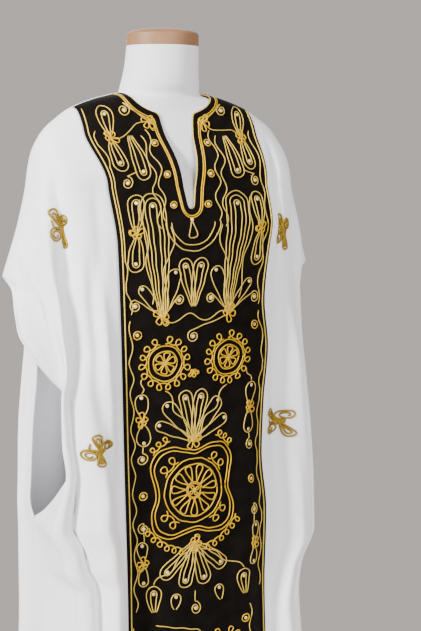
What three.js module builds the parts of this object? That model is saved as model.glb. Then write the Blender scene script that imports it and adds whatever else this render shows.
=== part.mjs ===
// A wide-sleeved thobe on a limbless dress form.  Millimetres, +Z up, the front faces -Y.
// The wearer's right is -X.  The origin is the middle of the stand's underside, on the floor.
import * as THREE from 'three';
import { mergeVertices } from 'three/addons/utils/BufferGeometryUtils.js';

// ---- driving dimensions -------------------------------------------------------------------
const CLOTH = 2;                 // cotton wall
const VELVET = 2.2;              // velvet front panel wall
const SEAM_GAP = 0.3;            // between two pieces that are sewn together
const PANEL_HALF = 165;          // half the width of the velvet panel
const NECK_HALF = 77;            // half the width of the neck at the shoulder seam
const NECK_BACK_DROP = 12;       // how far the back neckline dips at the middle
const NECK_FRONT_DROP = 37.9;    // how far the front neckline would dip if it had no slit
const SLIT_HALF = 33;            // half the width of the front slit at its top
const SLIT_BOTTOM = 1272;
const SLIT_ROUND = 7.5;          // radius of the slit's lower end
const CORNER_EASE = 0.8;         // how far front and back part at the cuff corner
const FORM_EASE = 0.8;           // room between the form and the cloth that lies on it
const HEM_Z = 30;
const BLEND_TOP = 1400;          // above this the cloth lies on the shoulders
const BLEND_BOTTOM = 1310;       // below this it hangs in its own folds
const BINDING_WIDTH = 9;
const BINDING = 1.6;             // binding wall
const CORD_RADIUS = 1.7;         // gold cord
const CORD_INSET = 9;            // from the panel's side to its border cord
const NEAR_ROWS = 6;             // mesh rows over the top of the shoulder
const FAR_ROWS = 20;             // mesh rows from there to the hem
const ROWS = NEAR_ROWS + FAR_ROWS;
const FIRST_DROP = 0.9;          // drop of the first row below the shoulder seam

const POLE_RADIUS = 17;
const BASE_RADIUS = 195;
const BASE_HEIGHT = 18;
const TORSO_BOTTOM = 742;
const NECK_TOP = 1541;
const CAP_HEIGHT = 30;
const CAP_STRAIGHT = 0.6;        // the share of the cap's height below its rounding
const CAP_CENTRE = -4;           // depth of the cap's middle

// The shoulder seam, and beyond the shoulder tip the upper fold of the sleeve, down to the cuff.
const TOP_LINE = [
  { x: 77, z: 1463 },
  { x: 120, z: 1453 },
  { x: 162, z: 1438 },
  { x: 191, z: 1420 },
  { x: 215, z: 1400 },
  { x: 229, z: 1376 },
  { x: 239, z: 1342 },
  { x: 247, z: 1300 },
  { x: 258, z: 1260 },
  { x: 272, z: 1217 },
  { x: 288, z: 1166 },
];

// Cloth over the shoulders and chest: front and back faces and the seam's own depth.
const CHEST = [
  { z: 1463, front: -46.6, back: 80.6, seam: 12 },
  { z: 1445, front: -47.2, back: 84.6, seam: 10 },
  { z: 1430, front: -48.6, back: 89.6, seam: 7 },
  { z: 1400, front: -57, back: 99.6, seam: 0 },
  { z: 1353, front: -77, back: 112, seam: 0 },
  { z: 1310, front: -93, back: 117, seam: 0 },
  { z: 1268, front: -106, back: 119, seam: 0 },
  { z: 1218, front: -109, back: 120, seam: 0 },
];

// The dress form: half width, front and back faces and the shoulder line's depth.
const FORM = [
  { z: 1548, half: 62, front: -59, back: 51, seam: -3 },
  { z: 1510, half: 64, front: -56, back: 61, seam: 2 },
  { z: 1480, half: 68, front: -52, back: 73, seam: 8 },
  { z: 1461.5, half: 73, front: -45, back: 79, seam: 12 },
  { z: 1451.5, half: 119.6, front: -45.2, back: 82, seam: 11 },
  { z: 1436.5, half: 161.6, front: -46, back: 86, seam: 8 },
  { z: 1419, half: 187, front: -50, back: 92, seam: 4 },
  { z: 1406, half: 198, front: -54, back: 96.5, seam: 1 },
  { z: 1385, half: 202, front: -60, back: 102, seam: 0 },
  { z: 1350, half: 200, front: -73, back: 108, seam: 0 },
  { z: 1310, half: 186, front: -86, back: 111, seam: 0 },
  { z: 1265, half: 165, front: -98, back: 107, seam: 2 },
  { z: 1210, half: 148, front: -94, back: 95, seam: 2 },
  { z: 1140, half: 132, front: -78, back: 80, seam: 2 },
  { z: 1075, half: 126, front: -72, back: 74, seam: 2 },
  { z: 1000, half: 141, front: -80, back: 88, seam: 2 },
  { z: 930, half: 158, front: -88, back: 103, seam: 2 },
  { z: 870, half: 165, front: -90, back: 107, seam: 2 },
  { z: 800, half: 158, front: -86, back: 98, seam: 2 },
  { z: TORSO_BOTTOM, half: 148, front: -82, back: 90, seam: 2 },
];

// Depth of the middle of the front and of the back, below the chest.
const MIDDLE = [
  { z: 1310, front: -93, back: 117 },
  { z: 1218, front: -109, back: 120 },
  { z: 1050, front: -108, back: 118 },
  { z: 760, front: -110, back: 122 },
  { z: 400, front: -124, back: 134 },
  { z: HEM_Z, front: -142, back: 150 },
];

// Each line runs down the cloth: z, how far out from the middle, and its depth (front negative).
const RIGHT = {
  panel: [
    { z: 1310, out: 141, deep: -84 },
    { z: 1218, out: 131, deep: -96 },
    { z: 1050, out: 127, deep: -97 },
    { z: 900, out: 125, deep: -97 },
    { z: 600, out: 121, deep: -99 },
    { z: HEM_Z, out: 142, deep: -134 },
  ],
  ridge: [
    { z: 1310, out: 221, deep: -62 },
    { z: 1218, out: 219, deep: -76 },
    { z: 1050, out: 219, deep: -88 },
    { z: 974, out: 226, deep: -104 },
    { z: 905, out: 227, deep: -107 },
    { z: 850, out: 221, deep: -107 },
    { z: 760, out: 233, deep: -105 },
    { z: 715, out: 212, deep: -110 },
    { z: 680, out: 204, deep: -110 },
    { z: 648, out: 187, deep: -108 },
    { z: 580, out: 184, deep: -108 },
    { z: HEM_Z, out: 240, deep: -132 },
  ],
  edge: [
    { z: 1166, out: 288, deep: 0 },
    { z: 1150, out: 282, deep: -18 },
    { z: 1117, out: 288, deep: -45 },
    { z: 1087, out: 289, deep: -60 },
    { z: 1043, out: 270, deep: -80 },
    { z: 1011, out: 247, deep: -86 },
    { z: 974, out: 219, deep: -87 },
    { z: 905, out: 208, deep: -83 },
    { z: 860, out: 207, deep: -80 },
    { z: 810, out: 220, deep: -52 },
    { z: 770, out: 231, deep: -12 },
    { z: 745, out: 234, deep: 34 },
  ],
  seam: [
    { z: 745, out: 234, deep: 34 },
    { z: 705, out: 229, deep: 32 },
    { z: 640, out: 230, deep: 18 },
    { z: 300, out: 246, deep: 0 },
    { z: HEM_Z, out: 272, deep: 0 },
  ],
  backPanel: [
    { z: 1310, out: 141, deep: 103 },
    { z: 1050, out: 140, deep: 112 },
    { z: 600, out: 142, deep: 124 },
    { z: HEM_Z, out: 160, deep: 150 },
  ],
  backRidge: [
    { z: 1310, out: 216, deep: 60 },
    { z: 1218, out: 216, deep: 74 },
    { z: 1050, out: 214, deep: 92 },
    { z: 850, out: 226, deep: 96 },
    { z: 600, out: 228, deep: 100 },
    { z: HEM_Z, out: 268, deep: 124 },
  ],
  backEdge: [
    { z: 1166, out: 288, deep: 0 },
    { z: 1135, out: 262, deep: 26 },
    { z: 1060, out: 228, deep: 46 },
    { z: 1010, out: 217, deep: 52 },
    { z: 909, out: 226, deep: 52 },
    { z: 803, out: 233, deep: 50 },
    { z: 770, out: 237, deep: 44 },
    { z: 745, out: 234, deep: 34 },
  ],
};

const LEFT = {
  panel: [
    { z: 1310, out: 164, deep: -74 },
    { z: 1247, out: 172, deep: -80 },
    { z: 1204, out: 164, deep: -84 },
    { z: 1108, out: 154, deep: -84 },
    { z: 1028, out: 164, deep: -80 },
    { z: 930, out: 153, deep: -84 },
    { z: 840, out: 150, deep: -84 },
    { z: 727, out: 163, deep: -80 },
    { z: 569, out: 157, deep: -86 },
    { z: HEM_Z, out: 160, deep: -128 },
  ],
  ridge: [
    { z: 1310, out: 221, deep: -56 },
    { z: 1218, out: 226, deep: -58 },
    { z: 1142, out: 243, deep: -44 },
    { z: 1022, out: 258, deep: -40 },
    { z: 946, out: 268, deep: -40 },
    { z: 850, out: 280, deep: -40 },
    { z: 753, out: 288, deep: -40 },
    { z: 665, out: 290, deep: -42 },
    { z: 610, out: 250, deep: -60 },
    { z: 540, out: 226, deep: -84 },
    { z: 300, out: 244, deep: -100 },
    { z: HEM_Z, out: 272, deep: -116 },
  ],
  edge: [
    { z: 1166, out: 288, deep: 0 },
    { z: 1150, out: 272, deep: -8 },
    { z: 1120, out: 252, deep: -6 },
    { z: 1022, out: 250, deep: -2 },
    { z: 850, out: 262, deep: 2 },
    { z: 753, out: 268, deep: 2 },
    { z: 665, out: 262, deep: -4 },
    { z: 610, out: 232, deep: -26 },
    { z: 575, out: 218, deep: -34 },
  ],
  seam: [
    { z: 575, out: 218, deep: -34 },
    { z: 300, out: 246, deep: -14 },
    { z: HEM_Z, out: 276, deep: 0 },
  ],
  backPanel: [
    { z: 1310, out: 141, deep: 103 },
    { z: 1050, out: 140, deep: 112 },
    { z: 600, out: 142, deep: 124 },
    { z: HEM_Z, out: 160, deep: 150 },
  ],
  backRidge: [
    { z: 1310, out: 218, deep: 60 },
    { z: 1218, out: 222, deep: 74 },
    { z: 1050, out: 226, deep: 90 },
    { z: 850, out: 236, deep: 96 },
    { z: 600, out: 232, deep: 100 },
    { z: HEM_Z, out: 270, deep: 126 },
  ],
  backEdge: [
    { z: 1166, out: 288, deep: 0 },
    { z: 1130, out: 258, deep: 34 },
    { z: 1060, out: 238, deep: 50 },
    { z: 909, out: 240, deep: 54 },
    { z: 759, out: 250, deep: 46 },
    { z: 650, out: 246, deep: 20 },
    { z: 575, out: 218, deep: -34 },
  ],
};

// Folds: where across the cloth, how wide and how proud, the height where each starts and is full.
const RIGHT_FOLDS = [
  { at: 198, width: 34, proud: 17, starts: 1230, full: 900 },
  { at: 240, width: 26, proud: -10, starts: 1350, full: 1180 },
  { at: 290, width: 40, proud: 7, starts: 1330, full: 1180 },
  { at: 232, width: 26, proud: -10, starts: 1000, full: 760 },
];
const LEFT_FOLDS = [
  { at: 190, width: 26, proud: -13, starts: 1260, full: 1050 },
  { at: 214, width: 26, proud: 7, starts: 1180, full: 900 },
  { at: 300, width: 60, proud: 8, starts: 1330, full: 1180 },
];
const PANEL_FOLDS = [
  { at: -70, width: 50, proud: 5, starts: 1000, full: 400 },
  { at: 20, width: 56, proud: -6, starts: 900, full: 300 },
  { at: 110, width: 44, proud: 8, starts: 1200, full: 700 },
];
const BACK_FOLDS = [
  { at: -300, width: 50, proud: 10, starts: 1250, full: 900 },
  { at: -205, width: 44, proud: -15, starts: 1330, full: 700 },
  { at: -138, width: 40, proud: 17, starts: 1340, full: 640 },
  { at: -66, width: 42, proud: -13, starts: 1300, full: 560 },
  { at: 4, width: 42, proud: 15, starts: 1350, full: 620 },
  { at: 74, width: 40, proud: -14, starts: 1290, full: 500 },
  { at: 142, width: 40, proud: 16, starts: 1330, full: 660 },
  { at: 210, width: 46, proud: -15, starts: 1320, full: 720 },
  { at: 300, width: 54, proud: 9, starts: 1240, full: 880 },
];

// ---- curves through the tables ------------------------------------------------------------

// A smooth curve through (key, value) pairs with no overshoot; the ends run on level.
function curveThrough(keys, values) {
  const order = keys.map((key, i) => i).sort((a, b) => keys[a] - keys[b]);
  const k = order.map((i) => keys[i]);
  const y = order.map((i) => values[i]);
  const last = k.length - 1;
  const slope = k.slice(1).map((key, i) => (y[i + 1] - y[i]) / (key - k[i]));
  const tangent = k.map((key, i) => {
    if (i === 0 || i === last) return slope[Math.min(i, last - 1)];
    const before = slope[i - 1];
    const after = slope[i];
    return before * after <= 0 ? 0 : (2 * before * after) / (before + after);
  });
  return (key) => {
    if (key <= k[0]) return y[0];
    if (key >= k[last]) return y[last];
    let i = 0;
    while (key > k[i + 1]) i += 1;
    const span = k[i + 1] - k[i];
    return hermite((key - k[i]) / span, y[i], y[i + 1], tangent[i] * span, tangent[i + 1] * span);
  };
}

function hermite(t, from, to, tangentFrom, tangentTo) {
  const t2 = t * t;
  const t3 = t2 * t;
  const bend = tangentFrom * (t3 - 2 * t2 + t) + tangentTo * (t3 - t2);
  return from * (2 * t3 - 3 * t2 + 1) + to * (3 * t2 - 2 * t3) + bend;
}

function linspace(from, to, count) {
  return Array.from({ length: count + 1 }, (_, i) => from + ((to - from) * i) / count);
}

function column(rows, key, by = 'z') {
  return curveThrough(rows.map((row) => row[by]), rows.map((row) => row[key]));
}

function sheetLines(side) {
  const lines = { seamTop: side.seam[0].z };
  for (const name of Object.keys(side)) {
    lines[name] = { out: column(side[name], 'out'), deep: column(side[name], 'deep') };
  }
  return lines;
}

// Distance across the flat cloth from the middle, at each row of the top line.
let run = TOP_LINE[0].x;
const topRows = TOP_LINE.map((row, i) => {
  if (i > 0) run += Math.hypot(row.x - TOP_LINE[i - 1].x, row.z - TOP_LINE[i - 1].z);
  return { ...row, across: run };
});
const CUFF_ACROSS = run;
const smoothX = column(topRows, 'x', 'across');
const smoothZ = column(topRows, 'z', 'across');
// the same line in short straight steps, so that looking up x, z or distance always agrees
const TOP_STEPS = 240;
const topSteps = linspace(NECK_HALF, CUFF_ACROSS, TOP_STEPS)
  .map((across) => ({ across, x: smoothX(across), z: smoothZ(across) }));

function onTopLine(by, value, key) {
  const rising = by !== 'z';
  let low = 0;
  let high = TOP_STEPS;
  while (high - low > 1) {
    const halfway = Math.floor((low + high) / 2);
    if ((topSteps[halfway][by] < value) === rising) low = halfway;
    else high = halfway;
  }
  const share = (value - topSteps[low][by]) / (topSteps[high][by] - topSteps[low][by]);
  return THREE.MathUtils.lerp(topSteps[low][key], topSteps[high][key], THREE.MathUtils.clamp(share, 0, 1));
}

const topX = (across) => onTopLine('across', across, 'x');
const topZ = (across) => onTopLine('across', across, 'z');
const topAcrossAt = (z) => onTopLine('z', z, 'across');
const topXAt = (z) => onTopLine('z', z, 'x');
const CUFF_Z = TOP_LINE[TOP_LINE.length - 1].z;
const RIDGE_ACROSS = 252;        // the long crease that falls from the shoulder tip
const KNOT_GAP = 20;             // least distance on the cloth between two of a curve's knots

const chest = { front: column(CHEST, 'front'), back: column(CHEST, 'back'), seam: column(CHEST, 'seam') };
const middle = { front: column(MIDDLE, 'front'), back: column(MIDDLE, 'back') };
const sides = { right: sheetLines(RIGHT), left: sheetLines(LEFT) };

// ---- the cloth surface --------------------------------------------------------------------

function smoothstep(x, low, high) {
  return THREE.MathUtils.smoothstep(x, low, high);
}

// On the shoulders: half an oval at each height, and each thread falls straight down.
function shoulderPoint(across, z, face) {
  const half = topXAt(z);
  const x = Math.min(across < NECK_HALF ? across : topX(across), half);
  const seam = chest.seam(z);
  const depth = chest[face](z) - seam;
  return { x, y: seam + depth * Math.sqrt(Math.max(0, 1 - (x / half) ** 2)) };
}

// Hanging cloth: a smooth curve through the middle, the panel's edge, the ridge and the edge.
function hangingPoint(across, z, face, lines) {
  const front = face === 'front';
  const panel = front ? lines.panel : lines.backPanel;
  const ridge = front ? lines.ridge : lines.backRidge;
  const freeEdge = front ? lines.edge : lines.backEdge;
  const edge = z < lines.seamTop ? lines.seam : freeEdge;
  const folded = z > CUFF_Z;
  const outerEnd = Math.max(topAcrossAt(z), PANEL_HALF + 2 * KNOT_GAP);
  const knots = [
    { at: 0, x: 0, y: middle[face](z) },
    { at: PANEL_HALF, x: panel.out(z), y: panel.deep(z) },
    { at: Math.min(RIDGE_ACROSS, outerEnd - KNOT_GAP), x: ridge.out(z), y: ridge.deep(z) },
    {
      at: outerEnd,
      x: folded ? topXAt(z) : edge.out(z),
      y: folded ? chest.seam(z) : edge.deep(z),
    },
  ];
  const last = knots.length - 1;
  const chord = knots.slice(1).map((knot, i) => {
    const length = Math.hypot(knot.x - knots[i].x, knot.y - knots[i].y);
    return { x: (knot.x - knots[i].x) / length, y: (knot.y - knots[i].y) / length, length };
  });
  // joined to the other sheet the cloth turns straight from front to back, a free edge just ends
  const joined = Math.max(smoothstep(z, CUFF_Z - 50, CUFF_Z), 1 - smoothstep(z, lines.seamTop, lines.seamTop + 60));
  const headings = knots.map((knot, i) => {
    if (i === 0) return { x: 1, y: 0, reach: chord[0].length };
    if (i === last) {
      const y = THREE.MathUtils.lerp(chord[last - 1].y, front ? 1 : -1, joined);
      return { x: chord[last - 1].x * (1 - joined), y, reach: chord[last - 1].length };
    }
    const x = chord[i - 1].x + chord[i].x;
    const y = chord[i - 1].y + chord[i].y;
    const size = Math.hypot(x, y);
    return { x: x / size, y: y / size, reach: 1.6 * Math.min(chord[i - 1].length, chord[i].length) };
  });
  let i = 0;
  while (i < last - 1 && across > knots[i + 1].at) i += 1;
  const t = Math.min((across - knots[i].at) / (knots[i + 1].at - knots[i].at), 1);
  const pull = (end) => Math.min(headings[end].reach, chord[i].length);
  const along = (key) => hermite(
    t, knots[i][key], knots[i + 1][key], headings[i][key] * pull(i), headings[i + 1][key] * pull(i + 1),
  );
  return { x: along('x'), y: along('y') };
}

// How proud the folds stand at one place: a round hump or hollow for each fold.
function foldHeight(folds, across, z) {
  let height = 0;
  for (const fold of folds) {
    const away = (across - fold.at) / fold.width;
    if (Math.abs(away) < 1) {
      height += fold.proud * Math.cos(away * Math.PI / 2) ** 2 * smoothstep(-z, -fold.starts, -fold.full);
    }
  }
  return height;
}

// One point of the cloth before its folds: across is negative on the wearer's right.
function clothPoint(face, across, z) {
  const lines = across < 0 ? sides.right : sides.left;
  const hanging = 1 - smoothstep(z, BLEND_BOTTOM, BLEND_TOP);
  const above = shoulderPoint(Math.abs(across), z, face);
  const below = hangingPoint(Math.abs(across), z, face, lines);
  return new THREE.Vector3(
    (across < 0 ? -1 : 1) * THREE.MathUtils.lerp(above.x, below.x, hanging),
    THREE.MathUtils.lerp(above.y, below.y, hanging),
    z,
  );
}

function foldsAt(face, across, z) {
  if (face === 'back') return foldHeight(BACK_FOLDS, across, z);
  const own = foldHeight(across < 0 ? RIGHT_FOLDS : LEFT_FOLDS, Math.abs(across), z);
  return own + foldHeight(PANEL_FOLDS, across, z);
}

// The neckline's height: it dips to the slit in front and a little at the back.
function neckZ(across, face) {
  const neckSide = topRows[0].z;
  const round = (x) => Math.sqrt(Math.max(0, 1 - (x / NECK_HALF) ** 2));
  if (face === 'back') return neckSide - NECK_BACK_DROP * round(across);
  if (across >= SLIT_HALF) return neckSide - NECK_FRONT_DROP * round(across);
  if (across < SLIT_ROUND) return SLIT_BOTTOM + SLIT_ROUND - Math.sqrt(SLIT_ROUND ** 2 - across ** 2);
  const straight = SLIT_BOTTOM + SLIT_ROUND;
  const slitTop = neckSide - NECK_FRONT_DROP * round(SLIT_HALF);
  return straight + ((slitTop - straight) * (across - SLIT_ROUND)) / (SLIT_HALF - SLIT_ROUND);
}

function upperZ(across, face) {
  return across < NECK_HALF ? neckZ(across, face) : topZ(across);
}

// How far a row lies below the top: the first rows crowd where the cloth turns over the shoulder.
function dropTo(row, length) {
  const near = FIRST_DROP * Math.min(row, NEAR_ROWS) ** 2;
  if (row <= NEAR_ROWS) return near;
  return near + ((length - near) * (row - NEAR_ROWS)) / FAR_ROWS;
}

// The row that lies a given drop below the top.
function rowAt(drop, length) {
  const near = FIRST_DROP * NEAR_ROWS ** 2;
  if (drop <= near) return Math.sqrt(drop / FIRST_DROP);
  return NEAR_ROWS + ((drop - near) * FAR_ROWS) / (length - near);
}

function rawPoint(face, across, row) {
  const top = upperZ(Math.abs(across), face);
  return clothPoint(face, across, top - dropTo(row, top - HEM_Z));
}

const STEP_ACROSS = 0.5;
const STEP_DOWN = 0.02;

// The surface's own outward direction, from its slopes across and down.
function outward(pointAt, across, row, face) {
  // the slope across stops at the neck's side, where the top line turns into the neckline
  const beyondNeck = Math.abs(across) >= NECK_HALF;
  const low = beyondNeck && across > 0 ? NECK_HALF : -CUFF_ACROSS;
  const high = beyondNeck && across < 0 ? -NECK_HALF : CUFF_ACROSS;
  const left = Math.max(across - STEP_ACROSS, low);
  const right = Math.min(across + STEP_ACROSS, high);
  const up = Math.max(row - STEP_DOWN, 0);
  const down = Math.min(row + STEP_DOWN, ROWS);
  const alongAcross = pointAt(right, row).sub(pointAt(left, row));
  const alongDown = pointAt(across, down).sub(pointAt(across, up));
  const normal = alongAcross.cross(alongDown).normalize();
  return face === 'front' ? normal.negate() : normal;
}

function surfacePoint(face, across, row) {
  const raw = (a, b) => rawPoint(face, a, b);
  const point = raw(across, row);
  const height = foldsAt(face, across, point.z);
  if (height !== 0) point.addScaledVector(outward(raw, across, row, face), height);
  return point;
}

// A point and its outward direction, the direction taken after the folds are in.
function clothFrame(face, across, row) {
  const folded = (a, b) => surfacePoint(face, a, b);
  return { point: folded(across, row), normal: outward(folded, across, row, face) };
}

// The same, parted by the seam gap where front and back are sewn together.
function sewnFrame(face, across, row) {
  const frame = clothFrame(face, across, row);
  const out = Math.abs(across);
  const onSeam = row === 0 || out === CUFF_ACROSS;
  const nearCorner = smoothstep(out, CUFF_ACROSS - 25, CUFF_ACROSS)
    * smoothstep(frame.point.z, CUFF_Z - 40, CUFF_Z - 5);
  const apart = (onSeam ? SEAM_GAP / 2 : 0) + CORNER_EASE * nearCorner;
  frame.point.y += face === 'front' ? -apart : apart;
  return frame;
}

// ---- solids -------------------------------------------------------------------------------

const pack = new THREE.Group();

function addMesh(name, geometry, material) {
  const mesh = new THREE.Mesh(geometry, material);
  mesh.name = name;
  pack.add(mesh);
  return mesh;
}

// A closed wall from patches of frames: both faces, and a rim along every free border.
// A patch may end early in some of its columns: depths gives how many rows each column keeps.
function wallGeometry(patches, thickness) {
  const ids = new Map();
  const frames = [];
  const idOf = (frame) => {
    const key = frame.point.toArray().map((n) => n.toFixed(3)).join(',');
    if (!ids.has(key)) {
      ids.set(key, frames.length);
      frames.push(frame);
    }
    return ids.get(key);
  };
  const faces = [];
  for (const { face, grid, depths } of patches) {
    for (let i = 0; i + 1 < grid.length; i += 1) {
      for (let j = 0; j + 1 < grid[i].length; j += 1) {
        if (depths && i >= Math.min(depths[j], depths[j + 1])) continue;
        const quad = [grid[i][j], grid[i + 1][j], grid[i + 1][j + 1], grid[i][j + 1]].map(idOf);
        if (face === 'back') quad.reverse();
        faces.push([quad[0], quad[1], quad[2]], [quad[0], quad[2], quad[3]]);
      }
    }
  }
  const solidFaces = faces.filter(([a, b, c]) => a !== b && b !== c && a !== c);
  const edges = new Set();
  for (const [a, b, c] of solidFaces) {
    edges.add(`${a},${b}`).add(`${b},${c}`).add(`${c},${a}`);
  }
  const count = frames.length;
  const positions = [];
  for (const sign of [1, -1]) {
    for (const { point, normal } of frames) {
      positions.push(...point.clone().addScaledVector(normal, sign * thickness / 2).toArray());
    }
  }
  const index = [];
  for (const [a, b, c] of solidFaces) {
    index.push(a, b, c, a + count, c + count, b + count);
  }
  for (const edge of edges) {
    const [a, b] = edge.split(',').map(Number);
    if (edges.has(`${b},${a}`)) continue;
    index.push(b, a, a + count, b, a + count, b + count);
  }
  const geometry = new THREE.BufferGeometry();
  geometry.setAttribute('position', new THREE.Float32BufferAttribute(positions, 3));
  geometry.setIndex(index);
  return geometry;
}

function sheet(face, acrossList, thickness) {
  const rows = linspace(0, ROWS, ROWS);
  const grid = rows.map((row) => acrossList.map((across) => sewnFrame(face, across, row)));
  return wallGeometry([{ face, grid }], thickness);
}

// A list of distances on one side becomes the same on both sides, from right to left.
function bothSides(list) {
  return [...list.slice(1).reverse().map((n) => -n), ...list];
}

const cotton = new THREE.MeshStandardMaterial({ name: 'white_cotton', color: 0xf0eff2, roughness: 0.85 });
const velvet = new THREE.MeshStandardMaterial({ name: 'black_velvet', color: 0x0b0a0c, roughness: 0.95 });
const gold = new THREE.MeshStandardMaterial({
  name: 'gold_cord', color: 0xd9ab2e, roughness: 0.4, metalness: 0.6,
});
const jersey = new THREE.MeshStandardMaterial({ name: 'white_jersey', color: 0xe9e7ea, roughness: 0.8 });
const capWood = new THREE.MeshStandardMaterial({ name: 'neck_cap', color: 0xcda582, roughness: 0.6 });
const metal = new THREE.MeshStandardMaterial({
  name: 'stand_metal', color: 0xb9bbbe, roughness: 0.35, metalness: 0.8,
});

// Velvet panel, with the neck slit cut into its top.
const neckColumns = (fromAngle) => linspace(fromAngle, 0, 6).map((angle) => NECK_HALF * Math.cos(angle));
const halfPanel = [
  0, 4, SLIT_ROUND, 20, SLIT_HALF, ...neckColumns(Math.acos(38 / NECK_HALF)), NECK_HALF + BINDING_WIDTH, 108, 132,
  PANEL_HALF - CORD_INSET, PANEL_HALF - SEAM_GAP / 2,
];
addMesh('front_panel', sheet('front', bothSides(halfPanel), VELVET), velvet);

// White fronts, from the panel out to the sleeve's free edge; the backs share their columns.
const outerColumns = (from, inner, outer) => [
  ...linspace(from, RIDGE_ACROSS, inner), ...linspace(RIDGE_ACROSS, CUFF_ACROSS, outer).slice(1),
];
const sideAcross = outerColumns(PANEL_HALF + SEAM_GAP / 2, 7, 8);
const mirrored = sideAcross.map((across) => -across).reverse();
addMesh('front_right', sheet('front', mirrored, CLOTH), cotton);
addMesh('front_left', sheet('front', sideAcross, CLOTH), cotton);

// The back is cut as the front is: a centre piece as wide as the panel, and a piece on each side.
const halfBack = [...neckColumns(Math.PI / 2), NECK_HALF + BINDING_WIDTH, 108, 134, PANEL_HALF - SEAM_GAP / 2];
addMesh('back_centre', sheet('back', bothSides(halfBack), CLOTH), cotton);
addMesh('back_right', sheet('back', mirrored, CLOTH), cotton);
addMesh('back_left', sheet('back', sideAcross, CLOTH), cotton);

// Binding: a strip round the neck and down both sides of the slit, on the cloth's own rows.
const bindingLift = (VELVET + BINDING) / 2 + 1.5 * SEAM_GAP;
function bindingPatch(face, halfColumns, halfDepths) {
  const columns = bothSides(halfColumns);
  const grid = linspace(0, NEAR_ROWS, NEAR_ROWS).map((row) => columns.map((across) => {
    const frame = clothFrame(face, across, row);
    if (row === 0 && Math.abs(across) >= NECK_HALF) {
      // on the shoulder seam both faces share one direction, so that the strip is whole
      const other = clothFrame(face === 'front' ? 'back' : 'front', across, row);
      frame.normal.add(other.normal).normalize();
    }
    frame.point.addScaledVector(frame.normal, bindingLift);
    return frame;
  }));
  return { face, grid, depths: [...halfDepths.slice(1).reverse(), ...halfDepths] };
}
const frontStrip = halfPanel.slice(0, 13);
const backStrip = halfBack.slice(0, 8);
addMesh('neck_binding', wallGeometry([
  bindingPatch('front', frontStrip, frontStrip.map((across) => (across < SLIT_HALF + 1 ? NEAR_ROWS : 3))),
  bindingPatch('back', backStrip, backStrip.map(() => 3)),
], BINDING), velvet);

// Border cords: a round cord just inside each long side of the panel, shoulder to hem.
function cordGeometry(frames, radius, sideCount) {
  const rings = frames.map(({ point, normal }, i) => {
    const before = frames[Math.max(i - 1, 0)].point;
    const after = frames[Math.min(i + 1, frames.length - 1)].point;
    const along = after.clone().sub(before).normalize();
    const sideways = along.clone().cross(normal).normalize();
    const up = sideways.clone().cross(along);
    return Array.from({ length: sideCount }, (_, k) => {
      const angle = (2 * Math.PI * k) / sideCount;
      return point.clone()
        .addScaledVector(sideways, radius * Math.cos(angle))
        .addScaledVector(up, radius * Math.sin(angle));
    });
  });
  return ringBody(rings.reverse());
}

const cordLift = VELVET / 2 + SEAM_GAP + CORD_RADIUS;
for (const [name, side] of [['border_cord_right', -1], ['border_cord_left', 1]]) {
  const frames = linspace(1, ROWS, ROWS - 1).map((row) => {
    const frame = clothFrame('front', side * (PANEL_HALF - CORD_INSET), row);
    frame.point.addScaledVector(frame.normal, cordLift);
    return frame;
  });
  addMesh(name, cordGeometry(frames, CORD_RADIUS, 6), gold);
}

// ---- dress form ---------------------------------------------------------------------------

const form = {
  half: column(FORM, 'half'), front: column(FORM, 'front'), back: column(FORM, 'back'),
  seam: column(FORM, 'seam'),
};

function formRing(z, count) {
  return Array.from({ length: count }, (_, i) => {
    const angle = (2 * Math.PI * i) / count;
    const level = z + FORM_EASE;
    const seam = form.seam(level);
    const depth = (Math.sin(angle) < 0 ? seam - form.front(level) : form.back(level) - seam) - FORM_EASE;
    return new THREE.Vector3(form.half(level) * Math.cos(angle), seam + depth * Math.sin(angle), z);
  });
}

// A closed body from rings, low to high, each end closed by a fan.
function ringBody(rings) {
  const count = rings[0].length;
  const positions = rings.flat().flatMap((p) => p.toArray());
  const index = [];
  for (let i = 0; i + 1 < rings.length; i += 1) {
    for (let j = 0; j < count; j += 1) {
      const next = (j + 1) % count;
      const a = i * count + j;
      const b = i * count + next;
      index.push(a, b, b + count, a, b + count, a + count);
    }
  }
  for (const [ring, up] of [[0, false], [rings.length - 1, true]]) {
    const centre = positions.length / 3;
    const middlePoint = rings[ring].reduce((sum, p) => sum.add(p), new THREE.Vector3());
    positions.push(...middlePoint.divideScalar(count).toArray());
    for (let j = 0; j < count; j += 1) {
      const a = ring * count + j;
      const b = ring * count + ((j + 1) % count);
      index.push(...(up ? [a, b, centre] : [b, a, centre]));
    }
  }
  const geometry = new THREE.BufferGeometry();
  geometry.setAttribute('position', new THREE.Float32BufferAttribute(positions, 3));
  geometry.setIndex(index);
  return geometry;
}

const RING_POINTS = 32;
const formHeights = [
  TORSO_BOTTOM, 770, 810, 850, 890, 930, 975, 1020, 1060, 1100, 1145, 1190, 1230, 1265, 1290, 1315,
  1340, 1365, 1385, 1398, 1408, 1416, 1424, 1431, 1438, 1444, 1449, 1453, 1457, 1461.5, 1466, 1472,
  1480, 1495, 1512, 1528, NECK_TOP,
];
addMesh('form_torso', ringBody(formHeights.map((z) => formRing(z, RING_POINTS))), jersey);

// Neck cap: the neck's own ring carried up, with a rounded shoulder to its top.
const capRings = [0, 0.6, 0.75, 0.88, 0.96, 1].map((share) => {
  const z = NECK_TOP + SEAM_GAP + share * CAP_HEIGHT;
  const shrink = Math.sqrt(Math.max(0.02, 1 - Math.max(0, (share - CAP_STRAIGHT) / (1 - CAP_STRAIGHT)) ** 2));
  return formRing(NECK_TOP, RING_POINTS).map((p) => new THREE.Vector3(
    p.x * shrink, CAP_CENTRE + (p.y - CAP_CENTRE) * shrink, z,
  ));
});
addMesh('form_neck_cap', ringBody(capRings), capWood);

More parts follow.
